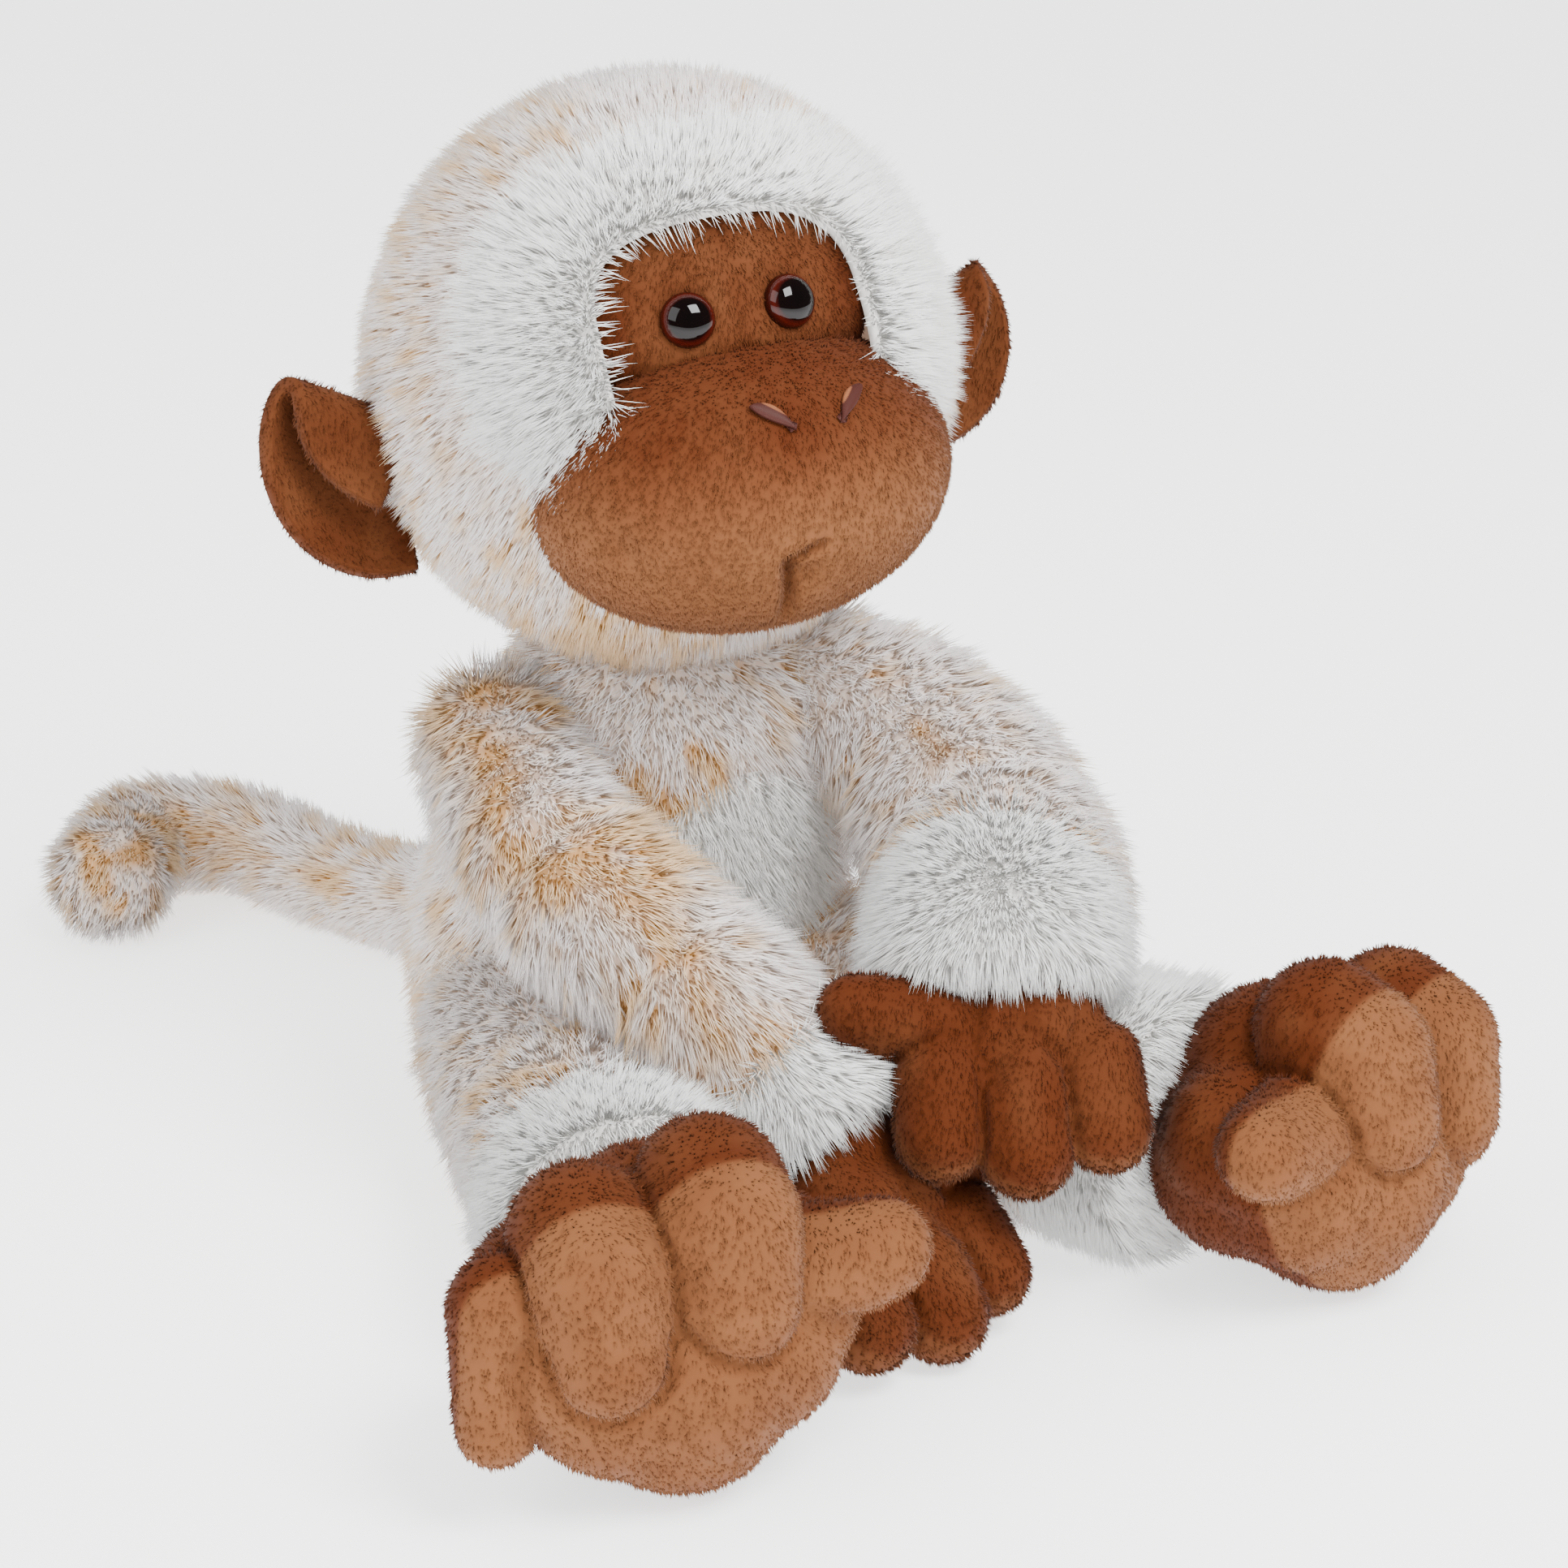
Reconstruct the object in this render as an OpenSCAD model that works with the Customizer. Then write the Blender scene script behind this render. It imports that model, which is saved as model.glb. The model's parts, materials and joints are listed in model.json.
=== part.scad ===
// Seated plush monkey: sewn fabric panels around stuffing, with soft sewn joints.
// Millimetres, +Z up. The toy faces -Y and its own left side is +X.
// The origin is on the floor, at the middle of the seat.

/* [Head] */
// Diameter of the stuffed head, without its pile
head_d = 146; // [130:1:175]
// Height of the neck joint above the floor
neck_z = 150; // [144:1:156]
// Depth that the head sits down into the collar, below the neck joint
head_sink = 19; // [16:1:22]
// Turn of the head at rest, towards its own right
head_turn = -7; // [-12:1:5]
// Sideways tilt of the head at rest
head_tilt = -5; // [-8:1:0]
// Forward nod of the head at rest
head_nod = -2; // [-5:1:5]
// Half of the width of the bare face between the brow fur
face_half_w = 33; // [28:1:36]
// Height of the top of the bare face above the middle of the head
face_top = 40; // [34:1:44]
// Width of the white brow panel, from the face to its outer edge
brow_w = 25; // [20:1:28]

/* [Muzzle] */
// Half width, half depth and half height of the muzzle
muzzle_half = [51, 44, 34]; // [28:1:60]
// How far the middle of the muzzle stays inside the front of the head
muzzle_inset = 23; // [18:1:28]
// How far the middle of the muzzle is below the middle of the head
muzzle_drop = 20; // [16:1:26]
// Length of an embroidered nostril
nostril_l = 11; // [8:1:14]
// Distance between the two nostrils
nostril_gap = 22; // [18:1:30]

/* [Eyes] */
// Diameter of a safety eye
eye_d = 12; // [9:0.5:14.5]
// Distance between the middles of the eyes
eye_spacing = 26; // [22:1:32]
// Height of the eyes above the middle of the head
eye_z = 24; // [21:1:28]
// Diameter of the eye's shank, behind the fabric
shank_d = 4; // [3:0.5:5]
// Diameter of the washer that locks the shank
washer_d = 14; // [10:0.5:17]
// Thickness of the washer
washer_t = 2; // [1.5:0.5:3]

/* [Ears] */
// Height of an ear
ear_h = 54; // [44:1:66]
// How far an ear stands out from the head
ear_out = 29; // [24:1:36]
// Thickness of one ear layer
ear_t = 3; // [2:0.5:4]

/* [Torso] */
// Diameter of the belly
belly_d = 108; // [100:1:116]
// Height of the middle of the belly
belly_z = 52; // [50:1:56]
// Diameter of the chest
chest_d = 80; // [76:1:96]
// Middle of the chest, which leans forward and a little to its left
chest_c = [6, -10, 112]; // [-20:1:120]
// Diameter of the flat sewn seat panel
seat_d = 54; // [48:1:56]
// Diameter of the bag of pellets that weights the seat
pellet_d = 36; // [28:1:38]
// Half width of the white belly patch
patch_half_w = 33; // [26:1:36]
// Height of the top of the belly patch
patch_top = 98; // [90:1:104]
// Half width of the patch between the legs
crotch_half_w = 25; // [22:1:26]
// Height at which the patch narrows to pass between the legs
crotch_top = 30; // [26:1:36]

/* [Arms] */
// Diameter of an arm at the shoulder
shoulder_d = 36; // [32:1:42]
// Diameter of an arm at the elbow
elbow_d = 38; // [32:1:44]
// Diameter of an arm at the cuff
wrist_d = 40; // [34:1:42]
// Length of the white cuff along the arm
arm_cuff_l = 22; // [16:1:26]
// Diameter of a finger
finger_d = 20; // [16:1:22]
// Thickness of the palm
palm_t = 22; // [18:1:26]

/* [Legs] */
// Diameter of a leg
leg_d = 56; // [50:1:60]
// Length of the white cuff along the leg
leg_cuff_l = 34; // [26:1:44]
// Diameter of the neck between a leg and its foot
ankle_d = 36; // [30:1:40]
// Height of a foot's heel pad, from the floor to the middle of the foot
foot_half_h = 40; // [38:1:44]
// Diameter of a middle toe
toe_d = 28; // [22:1:30]

/* [Tail] */
// Diameter of the tail where it leaves the body
tail_root_d = 34; // [28:1:38]
// Diameter of the tail at its tip
tail_tip_d = 38; // [30:1:40]

/* [Fabric] */
// Thickness of the pile fabric and its backing
fabric_t = 2.4; // [1.6:0.2:3.2]
// Gap between two panels that are sewn edge to edge
seam_gap = 0.2; // [0.15:0.05:0.3]
// Gap between the fabric and the stuffing inside it
fill_gap = 0.4; // [0.3:0.1:0.6]
// Clearance around everything that moves
move_gap = 0.8; // [0.6:0.1:1.2]

/* [Hidden] */
$fn = 32;

FROSTED = "#E4D6CC";
WHITE = "#F0F2F1";
BROWN = "#A5683C";
DARK_BROWN = "#8A431B";
FILL = "#F6F4EE";

// Head: the middle of the ball, and the radii of its layers
head_r = head_d / 2;
head_c = [5, -13, neck_z + head_r - head_sink];
head_in_r = head_r - fabric_t;
head_fill_r = head_in_r - 3 * fill_gap;
face_r = head_r - 0.6;
muzzle_c = [0, muzzle_inset - head_r, -muzzle_drop];
muzzle_gap = 0.5;
muzzle_in = muzzle_half - [fabric_t, fabric_t, fabric_t];
muzzle_fill = muzzle_in - [fill_gap, fill_gap, fill_gap];
brow_half_w = face_half_w + brow_w;
brow_top = face_top + 20;
eye_y = -sqrt(pow(face_r, 2) - pow(eye_z, 2) - pow(eye_spacing / 2, 2));
neck_travel = 8;
plug_r = 15;
plug_h = 12;
plug_c = [head_c[0], head_c[1], neck_z - head_sink - plug_h - 2];
big = 400;

// Torso: shoulders, hips and tail root follow the chest and the belly
belly_r = belly_d / 2;
chest_r = chest_d / 2;
belly_c = [0, 0, belly_z];
pellet_c = [0, 16, pellet_d / 2 + fabric_t + 2];
chest_fill_r = chest_r - 13;
chest_fill_c = chest_c - [0, 0, 10];
hip_off = [belly_r * 0.64, -22];
leg_r = leg_d / 2;
shoulder_right = chest_c + [-chest_r - 8, -5, 0];
shoulder_left = chest_c + [chest_r - 2, -20, 6];
tail_root = belly_c + [-4, belly_r + 4, -12];

// Arms: each route starts at its shoulder joint, and its steps are chosen by hand
arm_route_right = [[0, 0, 0], [-5, -36, -14], [2, -61, -24], [13, -86, -38], [28, -111, -67]];
arm_route_left = [[0, 0, 0], [14, -23, -8], [19, -44, -17], [12, -70, -27], [-12, -98, -34]];
forearm_r = (elbow_d + wrist_d) / 4;
arm_r = [shoulder_d / 2, elbow_d / 2, elbow_d / 2, forearm_r, wrist_d / 2];
arm_r_left = [shoulder_d / 2, elbow_d / 2 + 1, elbow_d / 2 + 3.5, forearm_r + 3, wrist_d / 2 + 1];
arm_pts_right = [for (p = arm_route_right) shoulder_right + p];
arm_pts_left = [for (p = arm_route_left) shoulder_left + p];
wrist_right = arm_pts_right[4];
wrist_left = arm_pts_left[4];
wrist_ball_r = wrist_d / 2 - fabric_t - move_gap;
// Turn of each hand: pitch of the fingers below level, then the turn about +Z
hand_turn_right = [33, 0, 14];
hand_turn_left = [38, 0, -22];
cuff_back = 3;
arm_lift = 32;
lift_ratio = 0.7;

// Legs: straight from the hip to the ankle, resting on the floor
leg_route = [32, -112];
foot_off_right = [19, -50];
foot_off_left = [34, -46];
foot_turn_right = 8;
foot_turn_left = 18;
leg_swing = 20;
ankle_r = ankle_d / 2;

// Tail: route of the middle line from its root
tail_step = [[0, 0], [-8, 44], [-16, 92], [-30, 134], [-56, 146], [-76, 122]];
tail_r = [tail_root_d / 2, tail_root_d / 2 - 1, tail_root_d / 2, tail_tip_d / 2 - 1, tail_tip_d / 2, tail_tip_d / 2];
tail_drop = 14;
tail_z = [tail_root[2], tail_root[2] - tail_drop, tail_r[2], tail_r[3], tail_r[4], tail_r[5]];
tail_pts = [for (i = [0:5]) [tail_root[0] + tail_step[i][0], tail_root[1] + tail_step[i][1], tail_z[i]]];

// Places its children in the head's own frame: face towards -Y
module at_head() translate(head_c) rotate([head_nod, head_tilt, head_turn]) children();

// Straight round link between two points
module link(a, b, ra, rb) {
    d = b - a;
    translate(a) rotate([0, acos(d[2] / norm(d)), atan2(d[1], d[0])])
        cylinder(h = norm(d), r1 = ra, r2 = rb);
}

// Balls joined by links that are a touch thinner than the balls
module chain(pts, radii, grow = 0) {
    thin = 0.97;
    for (i = [0:len(pts) - 1]) translate(pts[i]) sphere(r = radii[i] + grow);
    for (i = [0:len(pts) - 2])
        link(pts[i], pts[i + 1], (radii[i] + grow) * thin, (radii[i + 1] + grow) * thin);
}

// The same route as one smooth skin round each pair of balls, for the tighter bends
module soft_chain(pts, radii, grow = 0) {
    for (i = [0:len(pts) - 2]) hull() {
        translate(pts[i]) sphere(r = radii[i] + grow, $fn = 16);
        translate(pts[i + 1]) sphere(r = radii[i + 1] + grow, $fn = 16);
    }
}

// Half space on the far side of point p, in direction d
module beyond(p, d) {
    translate(p) rotate([0, acos(d[2] / norm(d)), atan2(d[1], d[0])])
        translate([-big / 2, -big / 2, 0]) cube([big, big, big]);
}

module ellipsoid(half) scale(half) sphere(r = 1, $fn = 44);

module muzzle_block(half, grow = 0) translate(muzzle_c) ellipsoid(half + [grow, grow, grow]);

module hood() color(FROSTED) at_head() difference() {
    sphere(r = head_r);
    sphere(r = head_in_r);
    front_field(brow_half_w, -12, brow_top);
    muzzle_block(muzzle_half, muzzle_gap);
}

// Box that takes the front of the head between two heights
module front_field(half_w, low, high) {
    translate([-half_w, -big, low]) cube([2 * half_w, big - 6, high - low]);
}

module brow_panel() color(WHITE) at_head() difference() {
    intersection() {
        sphere(r = head_r);
        front_field(brow_half_w - seam_gap, -12 + seam_gap, brow_top - seam_gap);
    }
    sphere(r = head_in_r);
    front_field(face_half_w, -60, face_top);
    muzzle_block(muzzle_half, muzzle_gap);
}

module face_panel() color(DARK_BROWN) at_head() difference() {
    intersection() {
        sphere(r = face_r);
        front_field(face_half_w - seam_gap, -40, face_top - seam_gap);
    }
    sphere(r = head_in_r);
    muzzle_block(muzzle_half, muzzle_gap);
    for (side = [-1, 1]) eye_axis(side) cylinder(h = big, r = shank_d / 2 + seam_gap, center = true);
}

module muzzle() color(BROWN) at_head() difference() {
    muzzle_block(muzzle_half);
    muzzle_block(muzzle_in);
    sphere(r = head_in_r + seam_gap);
    translate([-big / 2, 0, -big / 2]) cube(big);
}

module head_stuffing() color(FILL) at_head() difference() {
    sphere(r = head_fill_r);
    for (side = [-1, 1]) eye_axis(side) {
        translate([0, 0, -fabric_t - washer_t - 6]) cylinder(h = 20, r = washer_d / 2 + fill_gap);
    }
}

module muzzle_stuffing() color(FILL) at_head() difference() {
    muzzle_block(muzzle_fill);
    sphere(r = head_r + fill_gap);
    translate([-big / 2, 0, -big / 2]) cube(big);
}

// Frame on the face panel with +Z out of the face at one eye
module eye_axis(side) {
    p = [side * eye_spacing / 2, eye_y, eye_z];
    translate(p) rotate([0, acos(p[2] / norm(p)), atan2(p[1], p[0])]) children();
}

module eye(side) color("#160B07") at_head() eye_axis(side) {
    dome_base = 0.6;
    difference() {
        translate([0, 0, 1.5]) sphere(r = eye_d / 2);
        translate([-big / 2, -big / 2, dome_base - big]) cube(big);
    }
    translate([0, 0, -fabric_t - washer_t - 3]) cylinder(h = fabric_t + washer_t + 5, r = shank_d / 2);
}

module eye_washer(side) color("#D8D8D6") at_head() eye_axis(side) {
    translate([0, 0, -fabric_t - washer_t]) difference() {
        cylinder(h = washer_t, r = washer_d / 2);
        translate([0, 0, -1]) cylinder(h = washer_t + 2, r = shank_d / 2 + 0.05);
    }
}

// Padded embroidery that lies on the muzzle
module nostril(side) color("#7B4A3C") at_head() difference() {
    lift = 0.7;
    up = 25;
    reach = muzzle_half[1] * sqrt(1 - pow(up / muzzle_half[2], 2) - pow(nostril_gap / 2 / muzzle_half[0], 2));
    translate(muzzle_c + [side * nostril_gap / 2, -reach, up]) rotate([-40, side * 30, 0])
        scale([nostril_l * 0.2, lift * 2, nostril_l / 2]) sphere(r = 1, $fn = 20);
    muzzle_block(muzzle_half, seam_gap);
}

// Leaf shape of an ear, seen from the front, with its flat side on x = 0
module ear_leaf(side, y0, y1) scale_side(side) {
    root = ear_h / 2;
    difference() {
        translate([head_r, y1, 0]) rotate([90, 0, 0]) linear_extrude(height = y1 - y0) hull() {
            translate([0, -24]) circle(r = root * 0.5);
            translate([0, -4]) circle(r = root * 0.7);
            translate([ear_out - 11, -4]) circle(r = root * 0.4);
            translate([ear_out - 3, root * 0.66]) circle(r = root * 0.16);
        }
        sphere(r = head_r + move_gap + 1);
    }
}

module ear_back(side) color(DARK_BROWN) at_head() ear_leaf(side, 6, 6 + ear_t);

module ear_lining(side) color(BROWN) at_head() ear_leaf(side, 6 - seam_gap - ear_t, 6 - seam_gap);

// Round plug of stuffing in the neck opening
module neck_plug() color(FILL) {
    translate(plug_c) cylinder(h = plug_h, r = plug_r);
}

// The whole torso as one rounded body; grow shrinks or swells it
module torso_block(grow) hull() {
    translate(belly_c) sphere(r = belly_r + grow);
    translate(chest_c) sphere(r = chest_r + grow);
    translate([0, 0, fabric_t + seam_gap]) cylinder(h = 26, r = seat_d / 2 + 3 + grow);
}

// Room for an arm's first stretch, lifted by angle a
module arm_room(shoulder, step, radii, a) translate(shoulder) rotate([-a, 0, 0]) hull() {
    sphere(r = radii[0] + move_gap, $fn = 24);
    translate(step) sphere(r = radii[1] + move_gap, $fn = 24);
}

// Room for a leg, swung outwards by angle a
module leg_room(side, a) at_hip(side) rotate([0, 0, side * a]) hull() {
    sphere(r = leg_r + move_gap);
    translate([side * leg_route[0], leg_route[1], 0]) sphere(r = leg_r + move_gap);
}

// Everything that moves against the torso
module torso_clearance() {
    for (s = [-1, 0, 1]) translate(head_c + [0, s * neck_travel, 0]) sphere(r = head_r + move_gap + 1);
    for (a = [0, lift_ratio * arm_lift / 2, lift_ratio * arm_lift])
        arm_room(shoulder_right, arm_route_right[1], arm_r, a);
    for (a = [0, arm_lift / 2, arm_lift]) arm_room(shoulder_left, arm_route_left[1], arm_r_left, a);
    for (side = [-1, 1]) {
        leg_room(side, 0);
        leg_room(side, leg_swing);
    }
    translate(tail_root) sphere(r = tail_r[0] + move_gap);
}

module torso_shell() difference() {
    torso_block(0);
    torso_block(-fabric_t);
    torso_clearance();
    translate([-big / 2, -big / 2, fabric_t + seam_gap - big]) cube(big);
}

// Front field of the torso between two heights
module torso_front(half_w, low, high) {
    translate([chest_c[0] - half_w, -big, low]) cube([2 * half_w, big, high - low]);
}

module torso_back() color(FROSTED) difference() {
    torso_shell();
    torso_front(patch_half_w, 0, big);
}

module chest_bib() color(FROSTED) intersection() {
    torso_shell();
    torso_front(patch_half_w - seam_gap, patch_top + seam_gap, big);
}

module belly_patch() color(WHITE) intersection() {
    torso_shell();
    union() {
        torso_front(patch_half_w - seam_gap, crotch_top, patch_top);
        torso_front(crotch_half_w, 0, crotch_top + 1);
    }
}

module seat_panel() color(FROSTED) cylinder(h = fabric_t, r = seat_d / 2);

module torso_stuffing() color(FILL) difference() {
    $fn = 20;
    union() {
        translate(belly_c) sphere(r = belly_r - fabric_t - 3 * fill_gap);
        link(belly_c, chest_fill_c, belly_r - 15, chest_fill_r * 0.95);
        translate(chest_fill_c) sphere(r = chest_fill_r);
    }
    for (side = [-1, 1]) at_hip(side) {
        sphere(r = leg_r + move_gap);
        for (a = [0, leg_swing / 2, leg_swing]) rotate([0, 0, side * a])
            link([0, 0, 0], [side * leg_route[0], leg_route[1], 0], leg_r + move_gap, leg_r + move_gap);
    }
    translate(tail_root) sphere(r = tail_r[0] + move_gap);
    translate([-big / 2, -big / 2, fabric_t + fill_gap - big]) cube(big);
    translate(pellet_c) sphere(r = pellet_d / 2 + fill_gap);
    translate(plug_c) cylinder(h = plug_h + 20, r = plug_r + move_gap);
}

module pellet_bag() color("#CFC9BD") translate(pellet_c) sphere(r = pellet_d / 2);

// Arm: direction of its last stretch, and the plane where the cuff begins
function last_dir(pts) = pts[len(pts) - 1] - pts[len(pts) - 2];
function unit(v) = v / norm(v);
function cuff_start(pts, l) = pts[len(pts) - 1] - unit(last_dir(pts)) * l;

module arm_tube(pts, radii) difference() {
    soft_chain(pts, radii);
    soft_chain(pts, radii, -fabric_t);
    beyond(pts[len(pts) - 1], last_dir(pts));
}

module arm_sleeve(pts, radii) color(FROSTED) difference() {
    arm_tube(pts, radii);
    beyond(cuff_start(pts, arm_cuff_l + seam_gap), last_dir(pts));
}

// White ring at the wrist end, one straight cone of fabric
module arm_cuff(pts, radii) color(WHITE) {
    last = len(pts) - 1;
    ahead = unit(last_dir(pts));
    start = cuff_start(pts, arm_cuff_l);
    start_r = radii[last] + (radii[last - 1] - radii[last]) * arm_cuff_l / norm(last_dir(pts));
    end = pts[last] - ahead * cuff_back;
    difference() {
        link(start, end, start_r, radii[last]);
        link(start - ahead, end + ahead, start_r - fabric_t, radii[last] - fabric_t);
    }
}

module arm_stuffing(pts, radii) color(FILL) difference() {
    soft_chain(pts, radii, -fabric_t - fill_gap);
    beyond(cuff_start(pts, wrist_ball_r + 3), last_dir(pts));
}

// Hand in its own frame: fingers towards -Y, back of the hand up, thumb towards +X
module hand_block() {
    f = finger_d / 2;
    sphere(r = wrist_ball_r);
    link([0, 0, 0], [0, -24, 0], wrist_ball_r * 0.7, wrist_ball_r * 0.7);
    hull() {
        for (x = [-18, 16]) translate([x, -30, 0]) sphere(r = palm_t / 2, $fn = 20);
        for (x = [-11, 11]) translate([x, -21, 0]) sphere(r = palm_t / 2 - 2, $fn = 20);
    }
    chain([[-22, -34, 0], [-24, -50, -3]], [f, f - 0.5]);
    chain([[-3, -36, 0], [-3, -56, -4]], [f, f - 0.5]);
    chain([[16, -34, 0], [18, -51, -4]], [f, f - 0.5]);
    chain([[14, -22, 2], [36, -20, 8]], [f - 1, f - 2.5]);
}

module at_hand(p, turn, side) translate(p) rotate(turn) scale_side(side) children();

// Mirrors its children across x = 0 when side is -1
module scale_side(side) {
    if (side < 0) mirror([1, 0, 0]) children();
    if (side > 0) children();
}

module hand_pocket(grow) translate([0, -30, 0]) sphere(r = palm_t / 2 - fabric_t + grow);

module hand_back(p, turn, side) color(DARK_BROWN) at_hand(p, turn, side) difference() {
    hand_block();
    hand_pocket(0);
    translate([-big / 2, -big / 2, seam_gap / 2 - big]) cube(big);
}

module hand_palm(p, turn, side) color(BROWN) at_hand(p, turn, side) difference() {
    hand_block();
    hand_pocket(0);
    translate([-big / 2, -big / 2, -seam_gap / 2]) cube(big);
}

module hand_stuffing(p, turn, side) color(FILL) at_hand(p, turn, side) hand_pocket(-fill_gap);

// Leg: hip on the floor line, ankle further out and forward
module at_hip(side) translate([side * hip_off[0], hip_off[1], leg_r]) children();

function hip(side) = [side * hip_off[0], hip_off[1], leg_r];
function ankle(side) = hip(side) + [side * leg_route[0], leg_route[1], 0];
function foot_off(side) = side < 0 ? foot_off_right : foot_off_left;
function foot_turn(side) = side < 0 ? -foot_turn_right : foot_turn_left;
function foot_mid(side) = ankle(side) + [side * foot_off(side)[0], foot_off(side)[1], foot_half_h - leg_r];
function leg_pts(side) = [hip(side), ankle(side)];

leg_l = norm(leg_route);

// Places its children at a hip, with +Z along the leg
module at_leg(side) {
    d = last_dir(leg_pts(side));
    translate(hip(side)) rotate([0, 90, atan2(d[1], d[0])]) children();
}

// Half section of a tube with a round closed end, from -r up to the height l
module half_capsule(r, l) intersection() {
    union() {
        circle(r = r);
        square([r, l]);
    }
    translate([0, -r]) square([r, l + r]);
}

// Fabric of a leg between two heights along it
module leg_fabric(side, low, high) at_leg(side) rotate_extrude() intersection() {
    difference() {
        half_capsule(leg_r, leg_l);
        half_capsule(leg_r - fabric_t, leg_l + 1);
    }
    translate([0, low]) square([big, high - low]);
}

module leg_sleeve(side) color(FROSTED) leg_fabric(side, -leg_r, leg_l - leg_cuff_l - seam_gap);

module leg_cuff(side) color(WHITE) leg_fabric(side, leg_l - leg_cuff_l, leg_l);

module leg_stuffing(side) color(FILL) at_leg(side) rotate_extrude()
    half_capsule(leg_r - fabric_t - fill_gap, leg_l - ankle_r - 3);

// Foot in its own frame: sole towards -Y, toes up, big toe towards +X
module foot_pad() {
    hull() {
        translate([2, 2, 24 - foot_half_h]) sphere(r = 24, $fn = 28);
        translate([-24, 2, 0]) sphere(r = 20, $fn = 24);
        translate([22, 2, 2]) sphere(r = 20, $fn = 24);
        translate([0, 2, 16]) sphere(r = 20, $fn = 24);
    }
}

module toes() {
    t = toe_d / 2;
    chain([[-40, -4, 10], [-41, -10, -12]], [t - 5, t - 5]);
    chain([[-22, -4, 26], [-20, -19, 7]], [t - 1, t - 1]);
    chain([[4, -4, 32], [6, -19, 13]], [t, t]);
    chain([[24, -6, 8], [43, -12, 15]], [t - 2, t - 4]);
}

module at_foot(side) translate(foot_mid(side)) rotate([0, 0, foot_turn(side)]) scale_side(-side) children();

// Ball and neck that hold the foot in the leg's open end
module foot_neck(side) soft_chain([ankle(side), foot_mid(side) + [0, 8, 0]], [ankle_r, ankle_r * 0.9]);

module foot_pocket(grow) translate([0, 2, -4]) sphere(r = 17 + grow);

module foot_upper(side) color(DARK_BROWN) {
    difference() {
        union() {
            at_foot(side) foot_pad();
            foot_neck(side);
        }
        at_foot(side) foot_pocket(0);
        at_foot(side) translate([-big / 2, -big, -big / 2]) cube([big, big + seam_gap / 2, big]);
    }
}

module foot_sole(side) color(BROWN) at_foot(side) difference() {
    union() {
        foot_pad();
        toes();
    }
    foot_pocket(0);
    translate([-big / 2, -seam_gap / 2, -big / 2]) cube(big);
}

module foot_stuffing(side) color(FILL) at_foot(side) foot_pocket(-fill_gap);

// Tail in two lengths that bend at a soft joint
function part_of(list, from, to) = [for (i = [from:to]) list[i]];

module tail_base() color(FROSTED) difference() {
    chain(part_of(tail_pts, 0, 2), part_of(tail_r, 0, 2));
    chain(part_of(tail_pts, 0, 2), part_of(tail_r, 0, 2), -fabric_t);
    translate(tail_pts[2]) sphere(r = tail_r[2] + move_gap);
    for (a = [-15, 0, 15]) translate(tail_pts[2]) rotate([0, 0, a])
        link([0, 0, 0], tail_pts[3] - tail_pts[2], tail_r[2] + move_gap, tail_r[3] + move_gap);
}

module tail_base_stuffing() color(FILL) difference() {
    chain(part_of(tail_pts, 0, 2), part_of(tail_r, 0, 2), -fabric_t - fill_gap);
    translate(tail_pts[2]) sphere(r = tail_r[2] + move_gap);
}

module tail_tip() color(FROSTED) difference() {
    soft_chain(part_of(tail_pts, 2, 5), part_of(tail_r, 2, 5));
    soft_chain(part_of(tail_pts, 2, 5), part_of(tail_r, 2, 5), -fabric_t);
    link(tail_pts[2], tail_pts[1], tail_r[2] / 2, tail_r[2] / 2);
}

module tail_tip_stuffing() color(FILL)
    soft_chain(part_of(tail_pts, 2, 5), part_of(tail_r, 2, 5), -fabric_t - fill_gap);

hood();
brow_panel();
face_panel();
muzzle();
head_stuffing();
muzzle_stuffing();
eye(-1);  // eye_right
eye(1);  // eye_left
eye_washer(-1);  // eye_washer_right
eye_washer(1);  // eye_washer_left
nostril(-1);  // nostril_right
nostril(1);  // nostril_left
ear_back(-1);  // ear_back_right
ear_lining(-1);  // ear_lining_right
ear_back(1);  // ear_back_left
ear_lining(1);  // ear_lining_left
neck_plug();
torso_back();
chest_bib();
belly_patch();
seat_panel();
torso_stuffing();
pellet_bag();
arm_sleeve(arm_pts_right, arm_r);  // arm_sleeve_right
arm_cuff(arm_pts_right, arm_r);  // arm_cuff_right
arm_stuffing(arm_pts_right, arm_r);  // arm_stuffing_right
hand_back(wrist_right, hand_turn_right, 1);  // hand_back_right
hand_palm(wrist_right, hand_turn_right, 1);  // hand_palm_right
hand_stuffing(wrist_right, hand_turn_right, 1);  // hand_stuffing_right
arm_sleeve(arm_pts_left, arm_r_left);  // arm_sleeve_left
arm_cuff(arm_pts_left, arm_r_left);  // arm_cuff_left
arm_stuffing(arm_pts_left, arm_r_left);  // arm_stuffing_left
hand_back(wrist_left, hand_turn_left, -1);  // hand_back_left
hand_palm(wrist_left, hand_turn_left, -1);  // hand_palm_left
hand_stuffing(wrist_left, hand_turn_left, -1);  // hand_stuffing_left
leg_sleeve(-1);  // leg_sleeve_right
leg_cuff(-1);  // leg_cuff_right
leg_stuffing(-1);  // leg_stuffing_right
foot_upper(-1);  // foot_upper_right
foot_sole(-1);  // foot_sole_right
foot_stuffing(-1);  // foot_stuffing_right
leg_sleeve(1);  // leg_sleeve_left
leg_cuff(1);  // leg_cuff_left
leg_stuffing(1);  // leg_stuffing_left
foot_upper(1);  // foot_upper_left
foot_sole(1);  // foot_sole_left
foot_stuffing(1);  // foot_stuffing_left
tail_base();
tail_base_stuffing();
tail_tip();
tail_tip_stuffing();
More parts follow.
